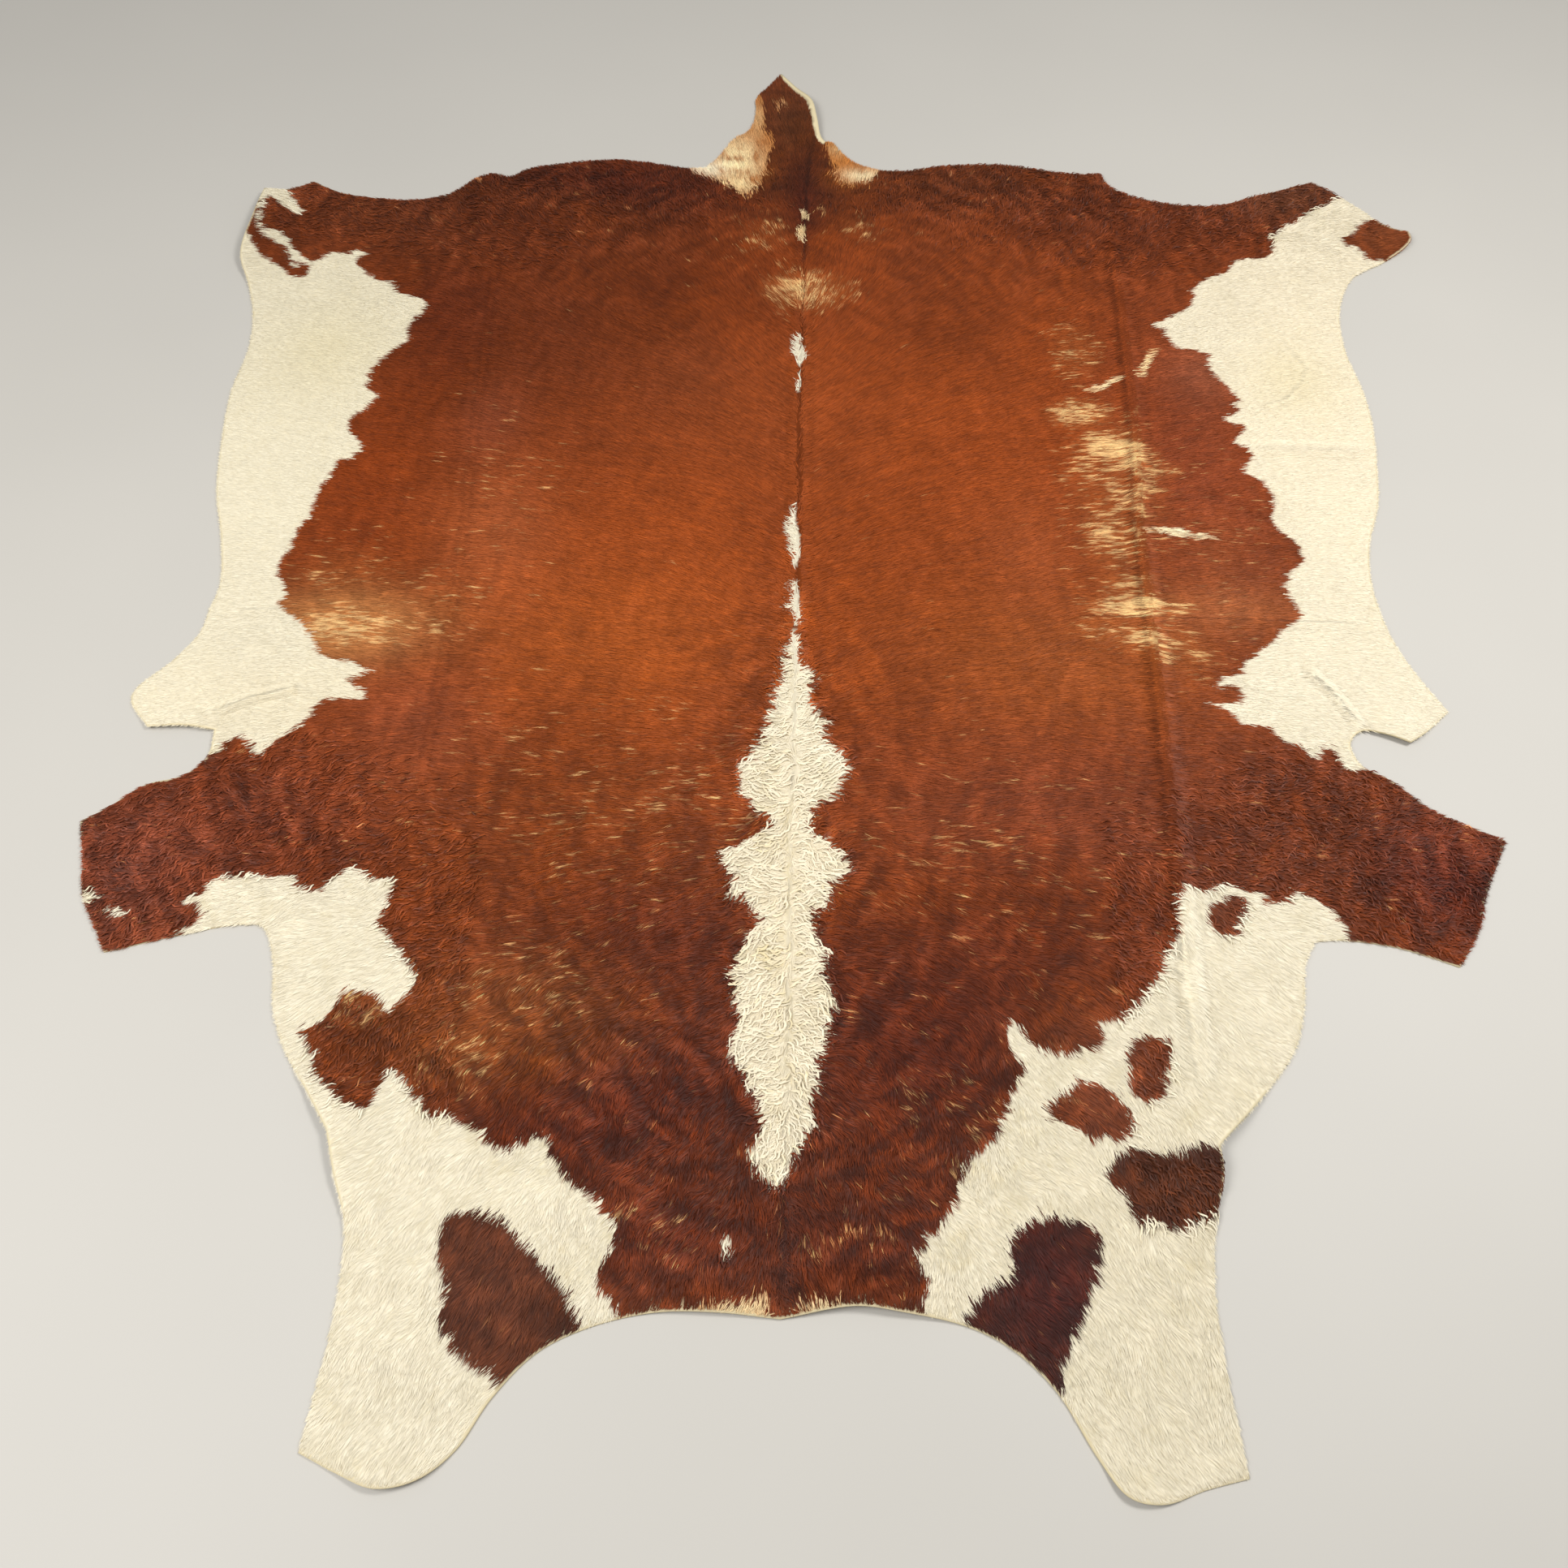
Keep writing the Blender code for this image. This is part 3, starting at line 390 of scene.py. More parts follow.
# Hair by place: cm from the spine, y, reach in cm, length in mm, curl from 0 to 1.
hairKinds = (
    (20, 25, 60, 50, 17, 0.1), (95, 30, 20, 60, 12, 0.05), (100, 75, 15, 18, 14, 0.12),
    (95, -22, 14, 10, 12, 0.05), (55, 98, 42, 11, 17, 0.75), (55, 82, 30, 10, 17, 0.45),
    (95, 92, 16, 12, 17, 0.6), (30, -60, 50, 22, 18, 0.5), (18, -95, 34, 24, 15, 0.9),
    (98, -54, 20, 14, 17, 0.95), (80, -45, 16, 14, 17, 0.7), (45, -115, 20, 24, 24, 0.6),
    (62, -74, 18, 16, 20, 0.5), (0, -55, 9, 45, 26, 0.9), (3, 122, 11, 14, 24, 0.3),
    (2, 66, 12, 9, 24, 0.25),
)


def linear(hexColour):
    # sRGB to linear light: c / 12.92 below 0.04045, else ((c + 0.055) / 1.055) to the power 2.4
    part = np.array([int(hexColour[i:i + 2], 16) for i in (1, 3, 5)]) / 255
    return np.where(part <= 0.04045, part / 12.92, ((part + 0.055) / 1.055) ** 2.4)


def softNoise(x, y, size, seed):
    # random values on a square lattice, joined by the smooth step t * t * (3 - 2 t): from -1 to 1
    values = np.random.default_rng(seed).uniform(-1, 1, (noiseCells, noiseCells))
    i, j = np.floor(x / size).astype(int), np.floor(y / size).astype(int)
    u, v = x / size - i, y / size - j
    u, v = u * u * (3 - 2 * u), v * v * (3 - 2 * v)
    i, j, nextI, nextJ = (k % noiseCells for k in (i, j, i + 1, j + 1))
    low = values[i, j] * (1 - u) + values[nextI, j] * u
    high = values[i, nextJ] * (1 - u) + values[nextI, nextJ] * u
    return low * (1 - v) + high * v


# Soft noises of the coat and the leather: size in cm and seed.
noises = {
    "patchWide": (13, 43), "patch": (4, 44), "patchFine": (1.6, 47), "goldenSpot": (1.8, 50),
    "cloud": (8, 48), "level": (6, 49), "fleck": (3, 46), "waveTurn": (3, 71), "parting": (2.2, 66),
    "drift": (11, 61), "turn": (3, 62), "twist": (1.1, 63), "stray": (2.2, 68),
    "frayX": (0.9, 64), "frayY": (0.9, 65), "phase": (2.4, 81), "dry": (3.2, 51), "dryWide": (11, 52),
}

# Streaks along a direction: grain and reach in cm, seed.
strands = {
    "strand": (0.35, 2.0, 42), "fleck": (0.26, 0.9, 45), "glint": (0.32, 0.9, 74),
    "wave": (0.65, 2.0, 72), "ripple": (0.38, 1.0, 73),
}
streakSteps = 7
streakGain = 1.9  # an average of noise is weaker than the noise


def noise(name, x, y):
    return softNoise(x, y, *noises[name])


def streaks(name, x, y, angle):
    # soft noise averaged along a direction, so that it runs in streaks: about -1 to 1
    size, reach, seed = strands[name]
    steps = np.linspace(-reach, reach, streakSteps)
    total = sum(softNoise(x + s * np.cos(angle), y + s * np.sin(angle), size, seed) for s in steps)
    return total / len(steps) * streakGain


def smoothStretch(stations, step):
    # centripetal Catmull-Rom curve through the stations, then points at even spacing, last one left out
    pts = np.array(stations, float)
    ctrl = np.vstack((2 * pts[0] - pts[1], pts, 2 * pts[-1] - pts[-2]))
    fine = []
    for p0, p1, p2, p3 in zip(ctrl, ctrl[1:], ctrl[2:], ctrl[3:]):
        t1 = np.sqrt(np.linalg.norm(p1 - p0))
        t2 = t1 + np.sqrt(np.linalg.norm(p2 - p1))
        t3 = t2 + np.sqrt(np.linalg.norm(p3 - p2))
        t = np.linspace(t1, t2, curveSteps, endpoint=False)[:, None]
        a1 = (t1 - t) / t1 * p0 + t / t1 * p1
        a2 = (t2 - t) / (t2 - t1) * p1 + (t - t1) / (t2 - t1) * p2
        a3 = (t3 - t) / (t3 - t2) * p2 + (t - t2) / (t3 - t2) * p3
        b1 = (t2 - t) / t2 * a1 + t / t2 * a2
        b2 = (t3 - t) / (t3 - t1) * a2 + (t - t1) / (t3 - t1) * a3
        fine.append((t2 - t) / (t2 - t1) * b1 + (t - t1) / (t2 - t1) * b2)
    fine = np.vstack(fine + [pts[-1:]])
    run = np.concatenate(((0,), np.cumsum(np.linalg.norm(np.diff(fine, axis=0), axis=1))))
    count = max(1, int(round(run[-1] / step)))
    along = np.linspace(0, run[-1], count + 1)[:-1]
    return np.column_stack((np.interp(along, run, fine[:, 0]), np.interp(along, run, fine[:, 1])))


def edgeRing(step):
    # the closed outline in metres, and the bare margin at each of its points
    names = list(cutEdge)
    parts, margins = [], []
    for name, following in zip(names, names[1:] + names[:1]):
        part = smoothStretch(cutEdge[name]["at"] + (cutEdge[following]["at"][0],), step / cm)
        parts.append(part)
        margins.append(np.full(len(part), cutEdge[name]["bare"] * mm))
    return np.vstack(parts) * cm, np.concatenate(margins)


coarse = edgeRing(partStep * mm)[0]
middle = (coarse.min(axis=0) + coarse.max(axis=0)) / 2  # the part has its middle at the origin


def chartPlace(points):
    # x and y in cm on the chart, of points in metres about the middle
    return (points + middle).T / cm


def offSpine(x):
    return np.abs(x - spineX)


def toPath(points, path):
    # shortest distance from each point to a line of straight legs, and the place along it from 0 to 1
    best, place = np.full(len(points), np.inf), np.zeros(len(points))
    lengths = np.linalg.norm(np.diff(path, axis=0), axis=1)
    starts = np.concatenate(((0,), np.cumsum(lengths)))
    for i, length in enumerate(lengths):
        leg = path[i + 1] - path[i]
        t = np.clip(((points - path[i]) @ leg) / length ** 2, 0, 1)
        gap = np.linalg.norm(points - path[i] - t[:, None] * leg, axis=1)
        closer = gap < best
        best[closer] = gap[closer]
        place[closer] = (starts[i] + t[closer] * length) / starts[-1]
    return best, place


foldLook = {
    "endFade": 8,       # a fold fades out over one part in 8 of its length
    "endHeight": 0.35,  # share of the height that its very ends keep
    "flankAt": 2.3,     # line widths from the crest to the middle of a flank
}


def foldPath(fold):
    return np.array(fold["at"]) * cm - middle


def byFold(points, fold, margin):
    # which points are near a fold, their distance from it, and how far they are from its ends
    path = foldPath(fold)
    low, high = path.min(axis=0) - margin, path.max(axis=0) + margin
    near = np.flatnonzero(((points > low) & (points < high)).all(axis=1))
    gap, place = toPath(points[near], path)
    return near, gap, foldLook["endFade"] * np.minimum(place, 1 - place)


def clearance(points):
    # height of the underside: fold = height * (1 - (distance / half width)^2), fading at its ends;
    # lifted place = height * (1 - (offset / reach)^2)^2; the highest one holds
    height = np.zeros(len(points))
    for fold in raisedFolds.values():
        near, gap, fromEnd = byFold(points, fold, fold["half"] * mm)
        across = np.clip(1 - (gap / (fold["half"] * mm)) ** 2, 0, 1)
        ends = np.clip(fromEnd + foldLook["endHeight"], 0, 1)
        height[near] = np.maximum(height[near], fold["high"] * mm * across * ends)
    for x, y, reachX, reachY, high in liftedPlaces.values():
        off = (points - (np.array((x, y)) * cm - middle)) / (np.array((reachX, reachY)) * cm)
        height = np.maximum(height, high * mm * np.clip(1 - (off ** 2).sum(axis=1), 0, 1) ** 2)
    return height


def foldPaintedShade(points):
    # painted light and shade along the folds: brightness crest * exp(-(gap / line)^2) + flank * exp(-((gap -
    # 2.3 line) / line)^2)
    tone = np.ones(len(points))
    for fold in raisedFolds.values():
        line = fold["line"] * mm
        near, gap, fromEnd = byFold(points, fold, 6 * line)
        crest = np.exp(-(gap / line) ** 2)
        flank = np.exp(-((gap - foldLook["flankAt"] * line) / line) ** 2)
        tone[near] *= 1 + np.clip(fromEnd, 0, 1) * (fold["crest"] * crest + fold["flank"] * flank)
    return tone


def inside(points, ring):
    # counts how many sides of the ring each point has to its right, within the ring's box
    found = np.zeros(len(points), bool)
    near = np.flatnonzero(((points >= ring.min(axis=0)) & (points <= ring.max(axis=0))).all(axis=1))
    x, y = points[near].T
    hit = np.zeros(len(near), bool)
    for a, b in zip(ring, np.roll(ring, -1, axis=0)):
        rows = np.flatnonzero((a[1] > y) != (b[1] > y))
        hit[rows] ^= x[rows] < (b[0] - a[0]) * (y[rows] - a[1]) / (b[1] - a[1]) + a[0]
    found[near] = hit
    return found


edgeMap = {"cell": 3 * mm, "reach": 42 * mm}


def makeEdgeMap(ring, margins):
    # signed distance to the cut edge, and less its bare margin, on a square lattice: positive inside
    cell, reach = edgeMap["cell"], edgeMap["reach"]
    low, high = ring.min(axis=0) - 1.5 * reach, ring.max(axis=0) + 1.5 * reach
    xs, ys = np.arange(low[0], high[0], cell), np.arange(low[1], high[1], cell)
    away = np.full((len(ys), len(xs)), reach)
    bare = np.zeros_like(away)
    within = np.zeros(away.shape, bool)
    for a, b, margin in zip(ring, np.roll(ring, -1, axis=0), margins):
        rows = np.flatnonzero((ys >= min(a[1], b[1])) & (ys < max(a[1], b[1])))
        if len(rows):
            crossing = a[0] + (ys[rows] - a[1]) * (b[0] - a[0]) / (b[1] - a[1])
            within[rows] ^= xs[None, :] < crossing[:, None]
        i0, j0 = ((np.minimum(a, b) - reach - low) / cell).astype(int)
        i1, j1 = ((np.maximum(a, b) + reach - low) / cell).astype(int) + 1
        px, py = np.meshgrid(xs[i0:i1], ys[j0:j1])
        leg = b - a
        t = np.clip(((px - a[0]) * leg[0] + (py - a[1]) * leg[1]) / (leg @ leg), 0, 1)
        gap = np.hypot(px - a[0] - t * leg[0], py - a[1] - t * leg[1])
        closer = gap < away[j0:j1, i0:i1]
        away[j0:j1, i0:i1][closer] = gap[closer]
        bare[j0:j1, i0:i1][closer] = margin
    signed = np.where(within, away, -away)
    edgeMap.update(low=low, edge=signed, hair=signed - bare)


def readEdge(points, which):
    # straight blend between the lattice's four nearest values
    values = edgeMap[which]
    place = (points - edgeMap["low"]) / edgeMap["cell"]
    i = np.clip(place[:, 0].astype(int), 0, values.shape[1] - 2)
    j = np.clip(place[:, 1].astype(int), 0, values.shape[0] - 2)
    u, v = np.clip(place[:, 0] - i, 0, 1), np.clip(place[:, 1] - j, 0, 1)
    return ((values[j, i] * (1 - u) + values[j, i + 1] * u) * (1 - v)
            + (values[j + 1, i] * (1 - u) + values[j + 1, i + 1] * u) * v)


def placeShare(x, y, px, py, reachX, reachY):
    # 1 in the middle of a place, fading by exp(-(offset / reach)^2)
    return np.exp(-((x - px) / reachX) ** 2 - ((y - py) / reachY) ** 2)


def layOver(colour, share, tone):
    # lays a tone over colours, in place
    colour += np.asarray(share)[:, None] * (tone - colour)


def bend(x, y, places, start):
    # the start colour with each place's colour laid over it in turn
    colour = np.tile(linear(start), (len(x), 1))
    for px, py, reachX, reachY, share, tone in places:
        layOver(colour, share * placeShare(x, y, px, py, reachX, reachY), linear(tone))
    return colour


layLook = {"soft": 30, "power": 1.6, "wander": 0.7}  # blend of the chart; cm that the parting wanders


def hairAngle(x, y):
    # blend of the lay chart by 1 / (distance^2 + soft)^power, mirrored about a parting that wanders a little
    off = offSpine(x)
    east, north = np.zeros(len(x)), np.zeros(len(x))
    for px, py, degrees in hairLay:
        hold = 1 / ((off - px) ** 2 + (y - py) ** 2 + layLook["soft"]) ** layLook["power"]
        east += hold * np.cos(np.radians(degrees))
        north += hold * np.sin(np.radians(degrees))
    angle = np.arctan2(north, east)
    parting = spineX + layLook["wander"] * noise("parting", x * 0, y)
    return np.where(x < parting, np.pi - angle, angle)


plainHair = {"length": 19.0, "curl": 0.3}  # where no place in the chart reaches


def hairKind(x, y):
    # length in mm and curl by place: each place of the chart laid over those before it
    off = offSpine(x)
    length, curl = np.full(len(x), plainHair["length"]), np.full(len(x), plainHair["curl"])
    for px, py, reachX, reachY, long, turn in hairKinds:
        hold = placeShare(off, y, px, py, reachX, reachY)
        length += hold * (long - length)
        curl += hold * (turn - curl)
    return length, curl


# Waves across the lay: radians that they turn, strength of the wide and the fine ones, how steep
# they are and how much of them straight hair has.
waveLook = {"turn": 0.5, "wide": 0.8, "fine": 0.45, "steep": 1.4, "least": 0.06}


def coatWave(x, y, angle):
    # waves that lie across the lay: soft noise averaged across it, about -1 to 1
    turn = angle + np.pi / 2 + waveLook["turn"] * noise("waveTurn", x, y)
    return streaks("wave", x, y, turn) * waveLook["wide"] + waveLook["fine"] * streaks("ripple", x, y, turn)


coatKinds = {"brown": 0, "white": 1, "dark": 2, "golden": 3}
# Golden borders fray this many cm along the hair: the tail is past endsFrom, the poll past its negative.
fray = {"tail": 3.6, "poll": 1.8, "body": 1.0, "endsFrom": 90}


def coatKind(x, y, angle, loose):
    # which marking each hair belongs to; x and y in cm, loose a random share for each hair
    points = np.column_stack((x, y))
    kind = np.zeros(len(x), int)
    ends = fray["endsFrom"]
    reach = np.where(y > ends, fray["tail"], np.where(y < -ends, fray["poll"], fray["body"]))
    frayed = points + (reach * (loose - 0.5))[:, None] * np.column_stack((np.cos(angle), np.sin(angle)))
    for name, ring in markings.values():
        kind[inside(frayed if name == "golden" else points, np.array(ring))] = coatKinds[name]
    return kind


coatTone = {
    "brown": "#7A3C22", "dark": "#4C2919", "white": "#F2E8CE", "golden": "#BE7634",  # where no place reaches
    "shade": 0.96, "gloss": 0.01,    # hair shades itself and shines: its own is (seen - gloss) / shade
    "whiteShade": 1.13,              # and white hair, which lights itself, is seen / this
    "streak": 0.22, "patch": 0.17,   # how much streaks and patches change the brown
    "wave": 1.2, "whiteWave": 0.18,  # how strongly waves paint light on their crests and shade in their troughs, at full curl
    "whiteMottle": 0.03,
    "blond": "#EFC384", "fleck": "#D9A468", "warm": "#B4662F", "goldenDeep": "#B06F38",
    # painted light and shade colours: yellow shade in the white's wave troughs, mauve sheen and glint
    # highlights
    "yellowShade": "#E0CD98", "sheen": "#884A35", "glint": "#CB8A55",
    "sheenShare": 0.34, "glintShare": 0.85, "darkShine": 0.4,  # painted sheen and glints; dark patches take this much of both
    "glintFrom": 0.92, "fleckFrom": 0.95, "crisp": 4,          # levels where they start, and how sharply
    # the most painted yellow shade that a trough takes
    "yellowShadeMost": 0.75,
}

# How much of each thing a pattern takes.
coatMix = {
    "patch": (0.5, 0.4, 0.2),          # wide, middle and, where the hair curls, fine patches
    "golden": (0.15, 0.5, 0.9, 0.4),   # deep gold: everywhere, by streak, by spot, by hair
    "cloud": (0.5, 1.2),               # painted sheen: everywhere, by cloud
    "glint": (0.45, 0.2),              # painted glint highlights: by wave, by hair
    "glintCurl": (2, 0.4),             # glints grow with the curl, less this
    "fleck": (0.85, 0.2, 0.25, 1.35),  # by streak, by spot, by hair, by the places of blond hair
    "warm": (0.35, 0.5),               # share of blond from which brown warms, and the most it does
    "pale": (1.5, 0.35),               # flecks pale with the share of blond, less this
    "yellowShade": (0.15, 0.8),             # painted yellow shade in the white's wave troughs: everywhere, by the curl squared
}


def ownColour(x, y, places, name):
    # dark hair's own colour, from the one that is seen
    return ((bend(x, y, places, coatTone[name]) - coatTone["gloss"]) / coatTone["shade"]).clip(0.003, 1)


def goldenColour(x, y, along, loose):
    golden = bend(x, y, goldenPlaces, coatTone["golden"])
    plain, byStreak, bySpot, byHair = coatMix["golden"]
    spots = noise("goldenSpot", x, y)
    deep = np.clip(plain + byStreak * along + bySpot * spots + byHair * (loose - 0.5), 0, 1)
    layOver(golden, deep ** 2, linear(coatTone["goldenDeep"]))
    return golden


def paintedSheenAndGlints(x, y, across, curl, level, loose):
    # painted light on the curly parts: a mauve sheen on their waves, in clouds: share * curl^0.5 * wave;
    # and glints, painted highlights on the crests of those waves
    plain, byCloud = coatMix["cloud"]
    cloud = np.clip(plain + byCloud * noise("cloud", x, y), 0, 1)
    sheen = coatTone["sheenShare"] * np.sqrt(curl) * np.clip(across, 0, 1) * cloud
    byWave, byHair = coatMix["glint"]
    glint = streaks("glint", x, y, level) + byWave * across + byHair * (loose - 0.5)
    glint = np.clip((glint - coatTone["glintFrom"]) * coatTone["crisp"], 0, 1)
    byCurl, less = coatMix["glintCurl"]
    return sheen, coatTone["glintShare"] * glint * np.clip(byCurl * curl - less, 0, 1)


def layBlond(brown, x, y, level, loose):
    # blond hairs over the brown: warm brown around them, single flecks golden, dense patches pale
    blond = np.zeros(len(x))
    for px, py, reachX, reachY, share in blondPlaces:
        blond = np.maximum(blond, share * placeShare(x, y, px, py, reachX, reachY))
    byStreak, bySpot, byHair, byPlace = coatMix["fleck"]
    fleck = streaks("fleck", x, y, level) * byStreak + noise("fleck", x, y) * bySpot + (loose - 0.5) * byHair
    pale = np.clip((fleck - coatTone["fleckFrom"] + byPlace * blond) * coatTone["crisp"], 0, 1)
    start, most = coatMix["warm"]
    layOver(brown, np.clip(blond - start, 0, most) * (1 - pale), linear(coatTone["warm"]))
    tone = np.tile(linear(coatTone["fleck"]), (len(x), 1))
    byBlond, less = coatMix["pale"]
    layOver(tone, np.clip(byBlond * blond - less, 0, 1), linear(coatTone["blond"]))
    layOver(brown, pale, tone)


def coatColour(x, y, angle, loose, kind):
    # each kind of hair by place, with streaks along the hair and waves across it, then each hair's own kind
    brown, dark = ownColour(x, y, brownPlaces, "brown"), ownColour(x, y, darkPlaces, "dark")
    white = bend(x, y, whitePlaces, coatTone["white"]) / coatTone["whiteShade"]
    along, across = streaks("strand", x, y, angle), coatWave(x, y, angle)
    curl = hairKind(x, y)[1]
    wide, medium, fine = coatMix["patch"]
    patch = noise("patchWide", x, y) * wide + noise("patch", x, y) * medium
    patch = patch + noise("patchFine", x, y) * fine * curl
    # painted glints and the blond flecks lie level, along the strands of the flank and along the waves of
    # the neck
    level = 0.3 * noise("level", x, y)
    sheen, glint = paintedSheenAndGlints(x, y, across, curl, level, loose)
    # painted sheen and glints over the brown, and less of them over the dark patches
    for tone, share in ((brown, 1), (dark, coatTone["darkShine"])):
        tone *= (1 + coatTone["streak"] * along * (1.2 - curl) + coatTone["patch"] * patch)[:, None]
        layOver(tone, share * sheen, linear(coatTone["sheen"]))
        layOver(tone, share * glint, linear(coatTone["glint"]))
    layBlond(brown, x, y, level, loose)
    # painted shade: the troughs of the white hair's waves go yellow
    white *= (1 + coatTone["whiteMottle"] * along + coatTone["whiteMottle"] * patch)[:, None]
    plain, byCurl = coatMix["yellowShade"]
    yellowShade = np.clip(-across * (plain + byCurl * curl ** 2), 0, coatTone["yellowShadeMost"])
    layOver(white, yellowShade, linear(coatTone["yellowShade"]))
    return np.choose(kind[:, None], (brown, white, dark, goldenColour(x, y, along, loose)))


def addMesh(name, verts, faces):
    mesh = bpy.data.meshes.new(name)
    mesh.vertices.add(len(verts))
    mesh.vertices.foreach_set("co", verts.astype(np.float32).ravel())
    mesh.loops.add(faces.size)
    mesh.loops.foreach_set("vertex_index", faces.astype(np.int32).ravel())
    mesh.polygons.add(len(faces))
    mesh.polygons.foreach_set("loop_start", np.arange(0, faces.size, faces.shape[1], dtype=np.int32))
    mesh.update(calc_edges=True)
    obj = bpy.data.objects.new(name, mesh)
    bpy.context.scene.collection.objects.link(obj)
    return obj


def addColours(mesh, colours):
    layer = mesh.color_attributes.new("coatColour", "FLOAT_COLOR", "POINT")
    opaque = np.column_stack((colours, np.ones(len(colours))))
    layer.data.foreach_set("color", opaque.astype(np.float32).ravel())


def addBakeMap(mesh, uv):
    layer = mesh.uv_layers.new(name="OFBake", do_init=False)
    layer.uv.foreach_set("vector", uv.astype(np.float32).ravel())


def addNode(tree, kind, settings=None, links=None):
    node = tree.nodes.new(kind)
    for name, value in (settings or {}).items():
        if name in node.inputs:
            node.inputs[name].default_value = value
        else:
            setattr(node, name, value)
    for socket, source in (links or {}).items():
        tree.links.new(source, node.inputs[socket])
    return node


def newMaterial(name, settings):
    # the material, its node tree and its shader, with the settings that are the same all over
    material = bpy.data.materials.new(name)
    material.use_nodes = True
    tree = material.node_tree
    shader = tree.nodes["Principled BSDF"]
    for socket, value in settings.items():
        shader.inputs[socket].default_value = value
    return material, tree, shader


def addTint(tree, shader):
    tint = addNode(tree, "ShaderNodeVertexColor", {"layer_name": "coatColour"})
    tree.links.new(tint.outputs["Color"], shader.inputs["Base Color"])


def addBump(tree, shader, texture, strength, depth):
    # depth in mm
    bump = addNode(tree, "ShaderNodeBump", {"Strength": strength, "Distance": depth * mm},
                   {"Height": texture.outputs["Fac"]})
    tree.links.new(bump.outputs["Normal"], shader.inputs["Normal"])


def addClouds(tree, shader, settings, light, dark, ends):
    # noise by the object's own coordinates, between a dark and a light colour
    place = addNode(tree, "ShaderNodeTexCoord")
    cloud = addNode(tree, "ShaderNodeTexNoise", settings, {"Vector": place.outputs["Object"]})
    ramp = addNode(tree, "ShaderNodeValToRGB", links={"Fac": cloud.outputs["Fac"]})
    for stop, position, colour in zip(ramp.color_ramp.elements, ends, (dark, light)):
        stop.position, stop.color = position, (*colour, 1)
    tree.links.new(ramp.outputs["Color"], shader.inputs["Base Color"])
    return place


def makeHairMaterial():
    # cattle hair, dry and combed flat: colour by hair, a soft silky gloss along it
    material, tree, shader = newMaterial(
        "cattleHair", {"Roughness": 0.52, "IOR": 1.55, "Specular IOR Level": 0.18})
    addTint(tree, shader)
    return material


skinLook = {"pores": 0.6, "strength": 0.3, "depth": 0.6}  # pores to a mm, depth in mm


def makeSkinMaterial():
    # tanned skin under the hair: matt, takes the coat's colour, fine pores
    material, tree, shader = newMaterial("hairSideSkin", {"Roughness": 0.8, "Specular IOR Level": 0.1})
    addTint(tree, shader)
    place = addNode(tree, "ShaderNodeTexCoord")
    grain = addNode(tree, "ShaderNodeTexNoise", {"Scale": skinLook["pores"] / mm, "Detail": 3},
                    {"Vector": place.outputs["Object"]})
    addBump(tree, shader, grain, skinLook["strength"], skinLook["depth"])
    return material


suedeLook = {"cloud": 62.5, "nap": 3.125, "strength": 0.5, "depth": 0.8}  # mm across, depth in mm


def makeSuedeMaterial(name, light, dark):
    # chrome-tanned split side: a pale, dusty nap in wide clouds
    material, tree, shader = newMaterial(name, {"Roughness": 0.9})
    place = addClouds(tree, shader, {"Scale": 1 / (suedeLook["cloud"] * mm), "Detail": 5, "Roughness": 0.65},
                      linear(light), linear(dark), (0.3, 0.7))
    nap = addNode(tree, "ShaderNodeTexNoise", {"Scale": 1 / (suedeLook["nap"] * mm), "Detail": 4},
                  {"Vector": place.outputs["Object"]})
    addBump(tree, shader, nap, suedeLook["strength"], suedeLook["depth"])
    return material


sheetLook = {
    "thick": 2.4, "edgeStep": 7, "fieldStep": 13, "foldStep": 11,  # mm
    "foldShares": (-1, -0.6, -0.25, 0, 0.25, 0.6, 1),  # rows beside a fold, in half widths
    "innerRow": 4.5, "innerLeast": 3.2, "foldLeast": 9, "fieldLeast": 10,  # mm from the edge
    "wave": 0.35, "waveFade": 20,                      # mm high, and mm from the edge where waves fade
    "skin": 0.62, "whiteSkin": 0.97, "parting": 0.22, "partingWidth": 0.8,  # brightness of painted shade: skin under brown and under white hair, and along the parting; width in cm
    "bareGrain": "#DACBA4", "underside": "#DCCBA0",
    "bareFade": 2,                                     # mm over which the bare margin starts
    "split": ("#D8CCB4", "#BFB195"), "cut": ("#E0D2AC", "#C9B88E"),  # light, dark
}


def skinHeight(points):
    # the top of the leather: clearance, thickness and small drying waves, always up from the floor
    x, y = points.T / cm
    curl = hairKind(*chartPlace(points))[1]
    wave = sheetLook["wave"]
    waves = (noise("dry", x, y) + 1) * wave * (0.3 + curl) + (noise("dryWide", x, y) + 1) * wave
    fade = np.clip(readEdge(points, "edge") / (sheetLook["waveFade"] * mm), 0.3, 1)
    return clearance(points) + (sheetLook["thick"] + waves * fade) * mm


